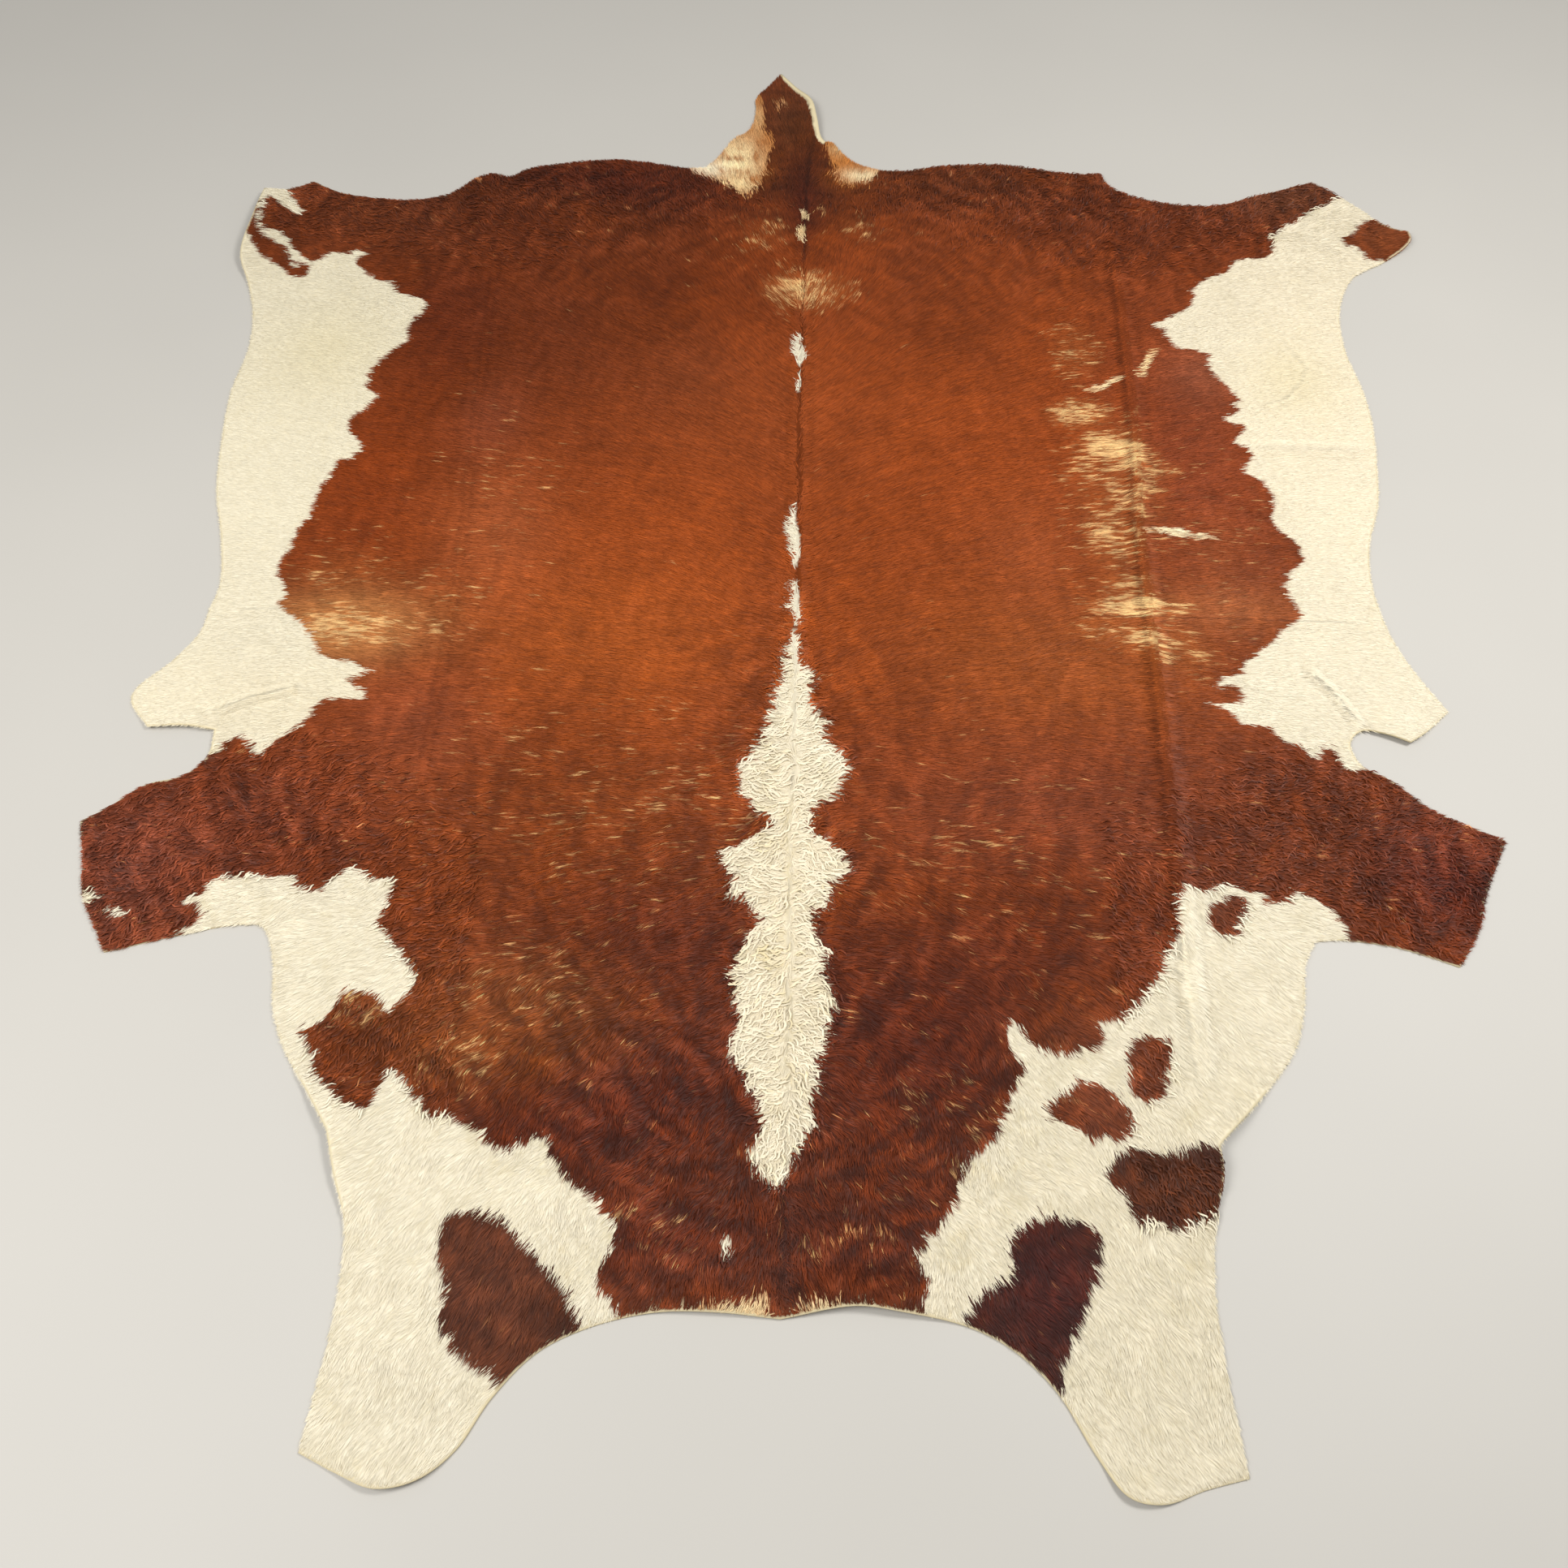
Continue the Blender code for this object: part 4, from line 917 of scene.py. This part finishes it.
def sheetPoints():
    # the edge, a row just inside it, rows along each raised fold, and a staggered field between them
    step = sheetLook["fieldStep"] * mm
    low, high = fineRing.min(axis=0), fineRing.max(axis=0)
    rows = np.arange(low[1], high[1], step * 0.866)
    gx, gy = np.meshgrid(np.arange(low[0], high[0], step), rows)
    gx = gx + (np.arange(len(rows)) % 2)[:, None] * step / 2
    field = np.column_stack((gx.ravel(), gy.ravel()))
    field = field[readEdge(field, "edge") > sheetLook["fieldLeast"] * mm]
    ahead = np.roll(fineRing, -1, axis=0) - np.roll(fineRing, 1, axis=0)
    inward = np.column_stack((ahead[:, 1], -ahead[:, 0])) / np.linalg.norm(ahead, axis=1)[:, None]
    inner = fineRing + inward * sheetLook["innerRow"] * mm
    inner = inner[readEdge(inner, "edge") > sheetLook["innerLeast"] * mm]
    foldRows = []
    for fold in raisedFolds.values():
        if not fold["high"]:
            continue  # a shaded line only
        line = smoothStretch(foldPath(fold), sheetLook["foldStep"] * mm)
        way = np.gradient(line, axis=0)
        side = np.column_stack((-way[:, 1], way[:, 0])) / np.linalg.norm(way, axis=1)[:, None]
        foldRows += [line + side * share * fold["half"] * mm for share in sheetLook["foldShares"]]
    foldRows = np.vstack(foldRows)
    foldRows = foldRows[readEdge(foldRows, "edge") > sheetLook["foldLeast"] * mm]
    cell = sheetLook["edgeStep"] * mm
    foldCells, fieldCells = (np.floor((pts - low) / cell).astype(int) for pts in (foldRows, field))
    taken = set(map(tuple, foldCells))
    field = field[[tuple(c) not in taken for c in fieldCells]]
    return np.vstack((fineRing, inner, foldRows, field))


def joinPoints(flat):
    # Delaunay faces within the edge, all of them turned to look up
    count = len(fineRing)
    pairs = [(i, (i + 1) % count) for i in range(count)]
    verts, _, faces, _, _, _ = delaunay_2d_cdt([Vector(p) for p in flat], pairs, [], 0, 0.00002, False)
    spots, faces = np.array([tuple(v) for v in verts]), np.array([f for f in faces])
    faces = faces[readEdge(spots[faces].mean(axis=1), "edge") > 0]
    used, faces = np.unique(faces, return_inverse=True)
    spots, faces = spots[used], faces.reshape(-1, 3)
    a, b, c = spots[faces[:, 0]], spots[faces[:, 1]], spots[faces[:, 2]]
    turn = (b[:, 0] - a[:, 0]) * (c[:, 1] - a[:, 1]) - (b[:, 1] - a[:, 1]) * (c[:, 0] - a[:, 0])
    faces[turn < 0] = faces[turn < 0][:, ::-1]
    return spots, faces


def skinColour(spots):
    # the coat's colour with painted shade, deeper under brown hair and along the parting, and plain leather
    # at the bare margin
    x, y = chartPlace(spots)
    angle = hairAngle(x, y)
    half = np.full(len(x), 0.5)
    kind = coatKind(x, y, angle, half)
    # painted shade along the parting, where the hair falls away from the skin
    parting = sheetLook["parting"] * np.exp(-((x - spineX) / sheetLook["partingWidth"]) ** 2)
    depth = np.where(kind == coatKinds["white"], sheetLook["whiteSkin"], sheetLook["skin"])
    colour = coatColour(x, y, angle, half, kind) * (depth - parting)[:, None]
    bare = np.clip(1 - readEdge(spots, "hair") / (sheetLook["bareFade"] * mm), 0, 1)
    layOver(colour, bare, linear(sheetLook["bareGrain"]))
    return colour


def makeSheet():
    # leather with the chart's outline: a top, a bottom and a rim
    spots, faces = joinPoints(sheetPoints())
    total = len(spots)
    # border sides are those that only one face has
    sides = np.vstack((faces[:, [0, 1]], faces[:, [1, 2]], faces[:, [2, 0]]))
    key, back = sides[:, 0] * total + sides[:, 1], sides[:, 1] * total + sides[:, 0]
    start, end = sides[~np.isin(key, back)].T
    rim = np.vstack((np.column_stack((end, start, start + total)),
                     np.column_stack((end, start + total, end + total))))
    top = np.column_stack((spots, skinHeight(spots)))
    bottom = np.column_stack((spots, clearance(spots)))
    obj = addMesh("hideSheet", np.vstack((top, bottom)), np.vstack((faces, faces[:, ::-1] + total, rim)))
    addColours(obj.data, np.vstack((skinColour(spots), np.tile(linear(sheetLook["underside"]), (total, 1)))))
    for material in (makeSkinMaterial(), makeSuedeMaterial("splitSuede", *sheetLook["split"]),
                     makeSuedeMaterial("cutLeatherEdge", *sheetLook["cut"])):
        obj.data.materials.append(material)
    slots = np.repeat((0, 1, 2), (len(faces), len(faces), len(rim)))
    obj.data.polygons.foreach_set("material_index", slots.astype(np.int32))
    obj.data.polygons.foreach_set("use_smooth", slots < 2)
    print("leather sheet", len(obj.data.polygons), "faces")
    return obj


def clumpCentres(points, size, seed):
    # nearest of one random point in each cell of a square lattice: hairs that share it lie as one tuft
    spots = np.random.default_rng(seed).uniform(0.1, 0.9, (noiseCells, noiseCells, 2))
    cell = np.floor(points / size).astype(int)
    best, centre = np.full(len(points), np.inf), np.zeros_like(points)
    for step in ((i, j) for i in (-1, 0, 1) for j in (-1, 0, 1)):
        at = cell + step
        spot = (at + spots[at[:, 0] % noiseCells, at[:, 1] % noiseCells]) * size
        gap = ((points - spot) ** 2).sum(axis=1)
        closer = gap < best
        best[closer], centre[closer] = gap[closer], spot[closer]
    return centre


def scatterRoots(rng, pitch):
    # a square grid over the hide's box, each point moved at random within its own cell
    low, high = fineRing.min(axis=0), fineRing.max(axis=0)
    gx, gy = np.meshgrid(np.arange(low[0], high[0], pitch), np.arange(low[1], high[1], pitch))
    roots = np.column_stack((gx.ravel(), gy.ravel()))
    return roots + rng.uniform(-0.5, 0.5, roots.shape) * pitch


def cutAtEdge(roots, way, length, gap, allow, least):
    # a hair that would reach too far past the edge is cut, so that its tip stays by it
    tipGap = readEdge(roots + way * length[:, None], "hair")
    over = tipGap < -allow
    length[over] *= np.clip((gap[over] + allow[over]) / (gap[over] - tipGap[over]), least, 1)


coatLook = {
    "pitch": 2.33,      # mm between hairs
    "width": 2.1,       # mm at the root; each blade stands for a lock of fine hairs
    "rise": 2.6,        # mm from root to tip
    "waveRise": 1.6,    # mm that a curl stands up
    "tuft": 9, "tuftSeed": 60,  # mm between tufts
    "gather": 0.42,     # share of the way that tips draw together in a tuft
    "overhang": 4.0,    # mm that hair may reach past the cut edge
    # random shares of the length, the overhang, the rise, the width and the roll
    "lengths": (0.7, 1.25), "overhangs": (0.1, 1), "rises": (0.6, 1.4), "widths": (0.7, 1.3),
    "rolls": (-0.3, 0.3),
    "cutLeast": 0.15,   # share of the length that a cut hair keeps at least
    "riseFrom": 0.55, "riseBy": 40,  # rise * (0.55 + length / 40 mm)
    "proud": 0.5, "proudNear": 3,    # more rise for golden hair, and for white this many cm from the spine
    "inset": 0.3, "sunk": 0.2,          # mm: roots inside the border, and below the skin
    "riseLeast": 0.4, "riseMost": 9,    # mm
    "drift": 9, "tuftTurn": 40, "tuftTwist": 22, "stray": 30,  # degrees that the lay wanders
    "scatter": 6, "partingScatter": 26, "partingWidth": 1.1,   # degrees by hair; width in cm
    "seenAt": 0.7, "rootAt": 0.45,  # share of the length where the marking and the root's colour are read
    "blur": 0.16, "ragged": 0.4,    # cm that borders blur, hair by hair and in small bays
    "vary": 0.14, "whiteVary": 0.35, "whiteFold": 0.7,  # by hair; white's share of it and of the painted fold shading
    "rootLoose": 0.4,                                   # roots have fewer flecks
    # painted light at the tips; limits of the painted tip and root brightness
    "tipShade": 1.08, "tipLimits": (0.3, 2.4), "rootLimits": (0.3, 2),
    "stand": (0.5, 0.6), "paleStand": (0.35, 0.5),             # share of the rise, and more by the curl
    "rootShade": (0.88, 0.38), "paleRootShade": (0.99, 0.12),  # painted shade at the root: brightness, less this by the curl
    "parts": ("hairShoulderLeft", "hairRumpLeft", "hairShoulderRight", "hairRumpRight"),
}


def waveAt(points, angle, curl):
    # -1 to 1, weak where the hair is straight
    wave = coatWave(*chartPlace(points), angle)
    return np.tanh(waveLook["steep"] * wave) * (waveLook["least"] + curl)


def coatLay(rng, roots, tufts, curl):
    # the chart's lay, turned by soft noise, by tuft and by hair, most where the hair curls
    x, y = chartPlace(roots)
    tx, ty = chartPlace(tufts)
    angle = hairAngle(x, y)
    angle += (np.radians(coatLook["drift"]) * noise("drift", x, y)
              + np.radians(coatLook["tuftTurn"]) * curl * noise("turn", tx, ty))
    angle += (np.radians(coatLook["tuftTwist"]) * curl * noise("twist", tx, ty)
              + np.radians(coatLook["stray"]) * curl ** 4 * noise("stray", x, y))
    byParting = np.exp(-((x - spineX) / coatLook["partingWidth"]) ** 2)
    scatter = coatLook["scatter"] * (0.4 + curl) + coatLook["partingScatter"] * byParting
    return angle + np.radians(scatter) * rng.standard_normal(len(roots))


def bladeShades(rng, tips, rootEnds, angle, curl, kind, loose, tipWave, rootWave):
    # colour by place at the tip and at the part of the root end that shows, changed by hair, and with
    # painted light and shade by fold, by wave and from tip to root
    white = kind == coatKinds["white"]
    light = white | (kind == coatKinds["golden"])
    tipColour = coatColour(*chartPlace(tips), angle, loose, kind)
    rootColour = coatColour(*chartPlace(rootEnds), angle, loose - coatLook["rootLoose"], kind)
    own = rng.standard_normal(len(kind)).clip(-2, 2)
    vary = 1 + coatLook["vary"] * own * np.where(white, coatLook["whiteVary"], 1)
    vary = (vary * (1 + (foldPaintedShade(tips) - 1) * np.where(white, coatLook["whiteFold"], 1)))[:, None]
    # painted light and shade: lit wave crests, shaded troughs, lighter tips and darker roots
    hold = np.where(light, coatTone["whiteWave"], coatTone["wave"])
    tipShade = np.where(light, 1.0, coatLook["tipShade"]) * np.exp(hold * tipWave)
    pale, plain = (shade - less * curl for shade, less in (coatLook["paleRootShade"], coatLook["rootShade"]))
    rootShade = np.where(light, pale, plain) * np.exp(hold * rootWave)
    tipColour = tipColour * vary * tipShade.clip(*coatLook["tipLimits"])[:, None]
    rootColour = rootColour * vary * rootShade.clip(*coatLook["rootLimits"])[:, None]
    return np.stack((rootColour, tipColour, rootColour), axis=1).clip(0, 1)


def growCoat():
    # one narrow triangle for each lock: root side across the lay, tip at root + length * lay + rise
    rng = np.random.default_rng(7)
    roots = scatterRoots(rng, coatLook["pitch"] * mm)
    gap = readEdge(roots, "hair")
    keep = gap > coatLook["inset"] * mm
    roots, gap = roots[keep], gap[keep]
    count = len(roots)
    x, y = chartPlace(roots)
    length, curl = hairKind(x, y)
    tufts = clumpCentres(roots, coatLook["tuft"] * mm, coatLook["tuftSeed"])
    angle = coatLay(rng, roots, tufts, curl)
    length = length * mm * rng.uniform(*coatLook["lengths"], count)
    way = np.column_stack((np.cos(angle), np.sin(angle)))
    allow = coatLook["overhang"] * mm * rng.uniform(*coatLook["overhangs"], count)
    cutAtEdge(roots, way, length, gap, allow, coatLook["cutLeast"])
    gather = (coatLook["gather"] * np.clip(0.25 + curl, 0, 1))[:, None]
    tips = roots + way * length[:, None] + gather * (tufts - roots)
    rootEnds = roots + way * (coatLook["rootAt"] * length)[:, None]
    # what shows of a hair is its outer part, so the marking is read there
    seen = chartPlace(roots + 1.5 * gather * (tufts - roots) + way * (coatLook["seenAt"] * length)[:, None])
    seen = seen + coatLook["blur"] * rng.standard_normal((count, 2)).T
    seen[0] += coatLook["ragged"] * noise("frayX", x, y)
    seen[1] += coatLook["ragged"] * noise("frayY", x, y)
    loose = rng.random(count)
    kind = coatKind(*seen, angle, loose)
    white, golden = kind == coatKinds["white"], kind == coatKinds["golden"]
    light = white | golden
    plainLay = hairAngle(x, y)
    tipWave, rootWave = waveAt(tips, plainLay, curl), waveAt(rootEnds, plainLay, curl)
    shades = bladeShades(rng, tips, rootEnds, angle, curl, kind, loose, tipWave, rootWave)
    base = skinHeight(roots)
    tipFloor = np.where(readEdge(tips, "edge") > 0, skinHeight(tips), base * 0.7)
    # golden hair and the white flecks of the spine stand a little over the brown around them
    proud = golden | (white & (offSpine(x) < coatLook["proudNear"]) & (y > 0))
    pale, plain = (share + more * curl for share, more in (coatLook["paleStand"], coatLook["stand"]))
    sleek = np.where(light, pale, plain) + coatLook["proud"] * proud
    rise = coatLook["rise"] * mm * rng.uniform(*coatLook["rises"], count) * sleek
    rise = rise * (coatLook["riseFrom"] + length / (coatLook["riseBy"] * mm))
    least, most = coatLook["riseLeast"] * mm, coatLook["riseMost"] * mm
    rise = np.clip(rise + coatLook["waveRise"] * mm * tipWave, least, most)
    base += coatLook["waveRise"] * mm * np.clip(rootWave, 0, 2) * 0.5
    foot = base - coatLook["sunk"] * mm
    half = coatLook["width"] * mm / 2
    across = half * rng.uniform(*coatLook["widths"], count)
    across = np.column_stack((-way[:, 1], way[:, 0])) * across[:, None]
    roll = rng.uniform(*coatLook["rolls"], count) * sleek * coatLook["width"] * mm / 2
    # right side of the root, tip, left side: this order looks up
    verts = np.stack((np.column_stack((roots - across, foot - roll)),
                      np.column_stack((tips, np.maximum(tipFloor + rise, least))),
                      np.column_stack((roots + across, foot + roll))), axis=1)
    return partCoat(roots, x, y, verts, shades)


def partCoat(roots, x, y, verts, shades):
    # four pieces with the same number of hairs, left and right, head end and tail end
    leftSide = x < np.median(x)
    order = []
    for side in (leftSide, ~leftSide):
        split = np.median(y[side])
        order += [np.flatnonzero(side & (y < split)), np.flatnonzero(side & (y >= split))]
    material = makeHairMaterial()
    parts = []
    for name, rows in zip(coatLook["parts"], order):
        obj = addMesh(name, verts[rows].reshape(-1, 3), np.arange(3 * len(rows)).reshape(-1, 3))
        addColours(obj.data, shades[rows].reshape(-1, 3))
        obj.data.materials.append(material)
        # bake map seen from above: each lock keeps a small patch by its root
        at = roots[rows]
        span = np.ptp(at, axis=0) + 0.01
        patch = np.array(((-0.7, -0.5), (0, 0.9), (0.7, -0.5))) * mm
        addBakeMap(obj.data, (at[:, None] - at.min(axis=0) + 0.005 + patch) / span)
        print(name, len(rows), "locks")
        parts.append(obj)
    return parts


lockLook = {
    "pitch": 7.4,       # mm between locks
    "width": 2.0, "whiteWidth": 2.6,  # mm at the widest
    "length": 1.1,      # times the coat's length there
    # random shares of the length, the overhang, the rise, the width and the lean
    "lengths": (0.7, 1.2), "overhangs": (0.2, 1), "rises": (0.6, 1.3), "widths": (0.7, 1.3),
    "leans": (-0.4, 0.4),
    "cutLeast": 0.2,    # share of the length that a cut lock keeps at least
    "rise": 2.0, "whiteRise": 1.8,    # mm that the middle stands up
    "lift": 2.2,        # mm that a lock lies over the skin
    "swing": 0.6,       # radians that a lock turns to each side
    "ripple": 5,        # radians that the swing moves on from root to tip
    "start": (6.3, 0.3, 2.4),  # its start: a turn in radians, the share of it by lock, and radians by place
    "legs": 4,          # straight pieces in a lock
    "curlFrom": 0.42,   # brown locks grow where the curl is above this
    "stripeHalf": 13, "stripeTo": -8,  # cm: the white stripe lies this near the spine, up to this y
    "flankFrom": 45, "rumpFrom": 80,   # cm: brown locks grow beyond this from the spine, or above this y
    "inset": 3, "overhang": 5,         # mm from the hair's border: roots, tips past it
    "drift": 9, "turn": 45, "scatter": 14,  # degrees that the lay wanders
    "shade": (0.7, 0.45, 0.7), "whiteShade": (0.94, 0.1, 0.08),  # painted shade and light: brightness at the root, more at the tip, by waves
    "vary": 0.15, "whiteVary": 0.3,  # brightness by lock, and white's share of it
}


def zipSides(right, left):
    # right and left side of each leg by turns, then the one point of the tip
    pairs = np.stack((right[:, :-1], left[:, :-1]), axis=2)
    return np.concatenate((pairs.reshape(len(right), -1, right.shape[2]), right[:, -1:]), axis=1)


def lockRoots(rng):
    # where loose curls grow: the white stripe, and the brown shanks and rump where the hair curls
    roots = scatterRoots(rng, lockLook["pitch"] * mm)
    x, y = chartPlace(roots)
    length, curl = hairKind(x, y)
    gap = readEdge(roots, "hair")
    kind = coatKind(x, y, np.zeros(len(roots)), np.full(len(roots), 0.5))
    white, golden = kind == coatKinds["white"], kind == coatKinds["golden"]
    stripe = white & (offSpine(x) < lockLook["stripeHalf"]) & (y < lockLook["stripeTo"])
    curly = ~white & ~golden & (curl + rng.uniform(-0.08, 0.08, len(curl)) > lockLook["curlFrom"])
    curly &= (offSpine(x) > lockLook["flankFrom"]) | (y > lockLook["rumpFrom"])
    keep = (gap > lockLook["inset"] * mm) & (stripe | curly)
    return (values[keep] for values in (roots, length, curl, gap, white))


def growLocks():
    # loose curls over the coat: ribbons of four legs whose heading is lay + swing * sin(phase + ripple * t),
    # whose height is rise * sin(pi * t^0.7) and whose width is width * sin(pi * (0.12 + 0.88 t))^0.7,
    # down to a tip at t = 1
    rng = np.random.default_rng(11)
    roots, length, curl, gap, white = lockRoots(rng)
    count, legs = len(roots), lockLook["legs"]
    x, y = chartPlace(roots)
    drift = np.radians(lockLook["drift"]) * noise("drift", x, y)
    wander = hairAngle(x, y) + drift + np.radians(lockLook["turn"]) * curl * noise("turn", x, y)
    wander += np.radians(lockLook["scatter"]) * rng.standard_normal(count)
    length = length * mm * lockLook["length"] * rng.uniform(*lockLook["lengths"], count)
    way = np.column_stack((np.cos(wander), np.sin(wander)))
    allow = lockLook["overhang"] * mm * rng.uniform(*lockLook["overhangs"], count)
    cutAtEdge(roots, way, length, gap, allow, lockLook["cutLeast"])
    t = np.linspace(0, 1, legs + 1)
    turn, byLock, byPlace = lockLook["start"]
    phase = (turn * rng.random(count) * byLock + byPlace * noise("phase", x, y))[:, None]
    swing = lockLook["swing"] * (0.4 + curl)[:, None]
    heading = wander[:, None] + swing * np.sin(phase + lockLook["ripple"] * t)
    moves = np.stack((np.cos(heading), np.sin(heading)), axis=2) * (length / legs)[:, None, None]
    moved = np.concatenate((np.zeros((count, 1, 2)), np.cumsum(moves[:, :-1], axis=1)), axis=1)
    line = roots[:, None] + moved
    flat = line.reshape(-1, 2)
    ground = skinHeight(flat).reshape(count, -1)
    ground = np.where(readEdge(flat, "edge").reshape(count, -1) > 0, ground, ground * 0.6)
    tall = np.where(white, lockLook["whiteRise"], lockLook["rise"]) * mm
    tall = (tall * rng.uniform(*lockLook["rises"], count) * (0.4 + curl))[:, None]
    height = ground + lockLook["lift"] * mm * np.minimum(1, 3 * t) + tall * np.sin(np.pi * t ** 0.7)
    half = np.where(white, lockLook["whiteWidth"], lockLook["width"]) * mm / 2
    half = half * rng.uniform(*lockLook["widths"], count)
    half = half[:, None] * np.sin(np.pi * (0.12 + 0.88 * t)) ** 0.7
    across = np.stack((-np.sin(heading), np.cos(heading)), axis=2) * half[:, :, None]
    lean = rng.uniform(*lockLook["leans"], count)[:, None] * half
    right, left = np.dstack((line - across, height - lean)), np.dstack((line + across, height + lean))
    leg = np.array(((0, 2, 3), (0, 3, 1)))
    tip = 2 * legs
    faces = np.vstack([leg + 2 * k for k in range(legs - 1)] + [((tip - 2, tip, tip - 1),)])
    faces = (faces[None] + (tip + 1) * np.arange(count)[:, None, None]).reshape(-1, 3)
    obj = addMesh("looseCurls", zipSides(right, left).reshape(-1, 3), faces)
    seen = chartPlace(line[:, -2])
    loose = rng.uniform(-0.9, -0.1, count)
    kind = coatKind(*seen, wander, loose + 1)
    white = kind == coatKinds["white"]
    colour = coatColour(*seen, wander, loose, kind)
    own = rng.standard_normal(count).clip(-2, 2)
    colour *= (1 + lockLook["vary"] * own * np.where(white, lockLook["whiteVary"], 1))[:, None]
    # painted shade at the root, lighter towards the tip, and light and shade by the waves
    shade, more, byWave = (np.where(white, *both)[:, None]
                           for both in zip(lockLook["whiteShade"], lockLook["shade"]))
    ride = coatWave(*chartPlace(flat), np.repeat(hairAngle(x, y), legs + 1)).reshape(count, -1)
    deep = ((shade + more * t) * np.exp(byWave * ride))[:, :, None]
    addColours(obj.data, (colour[:, None] * zipSides(deep, deep)).reshape(-1, 3).clip(0, 1))
    obj.data.materials.append(makeHairMaterial())
    # bake map seen from above, with each lock drawn short by its root
    spread = roots[:, None] + (zipSides(right[:, :, :2], left[:, :, :2]) - roots[:, None]) * 0.22
    uv = (spread - roots.min(axis=0) + 0.01) / (np.ptp(roots, axis=0) + 0.02)
    addBakeMap(obj.data, uv.reshape(-1, 2)[faces.ravel()])
    print("looseCurls", count, "locks,", len(faces), "faces")
    return obj


fineRing, fineBare = edgeRing(sheetLook["edgeStep"] * mm)
fineRing = fineRing - middle
makeEdgeMap(fineRing, fineBare)
print("cut edge mapped")
hideSheet = makeSheet()
coatParts = growCoat() + [growLocks()]

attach(hideSheet, "root")
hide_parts("hide")
for part in coatParts:
    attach(part, "root")

studio = {
    "floor": "#BDB9B1", "floorSize": 24, "mottle": 500, "mottleShades": (0.96, 1.03),  # m, mm across
    "camera": (-0.0394, -1.4539, 1.8725), "tilt": 29.773, "turn": 1.163,
    "lens": 36 * 1750 / 1932,  # mm: a focal length of 1750 of the frame's 1932 pixels, on a 36 mm sensor
    "air": 0.4,
    "lamps": {  # where it hangs, what it looks at, width in metres, watts
        "keyLight": ((1.9, 0.1, 3.0), (0.2, 0, 0), 1.1, 84),
        "fillLight": ((-2.2, -1.3, 3.0), (-0.4, -0.2, 0), 2.0, 96),
    },
}


def makeFloor():
    # pale, plain sheet flooring, matt with a faint mottle
    half = studio["floorSize"] / 2
    corners = np.array(((-half, -half, 0), (half, -half, 0), (half, half, 0), (-half, half, 0)))
    floor = addMesh("studioFloor", corners, np.array([[0, 1, 2, 3]]))
    material, tree, shader = newMaterial("paleVinylFloor", {"Roughness": 0.6})
    dark, light = (linear(studio["floor"]) * shade for shade in studio["mottleShades"])
    addClouds(tree, shader, {"Scale": 1 / (studio["mottle"] * mm), "Detail": 2}, light, dark, (0, 1))
    floor.data.materials.append(material)
    return floor


def addLamp(name, place, target, size, power):
    data = bpy.data.lights.new(name, "AREA")
    data.shape, data.size, data.energy = "DISK", size, power
    lamp = bpy.data.objects.new(name, data)
    lamp.location = place
    lamp.rotation_euler = (Vector(target) - Vector(place)).to_track_quat("-Z", "Y").to_euler()
    bpy.context.scene.collection.objects.link(lamp)
    return lamp


makeFloor()
for lampName, lampValues in studio["lamps"].items():
    addLamp(lampName, *lampValues)
world = bpy.data.worlds.new("studioAir")
world.use_nodes = True
air = world.node_tree.nodes["Background"]
air.inputs["Color"].default_value = (1, 1, 1, 1)
air.inputs["Strength"].default_value = studio["air"]
bpy.context.scene.world = world
bpy.context.scene.view_settings.view_transform = "Standard"  # plain sRGB, so that the hex colours read true

cameraData = bpy.data.cameras.new("photoCamera")
cameraData.sensor_width, cameraData.lens = 36, studio["lens"]
camera = bpy.data.objects.new("photoCamera", cameraData)
camera.location = studio["camera"]
camera.rotation_euler = np.radians((studio["tilt"], 0, studio["turn"]))
bpy.context.scene.collection.objects.link(camera)
bpy.context.scene.camera = camera
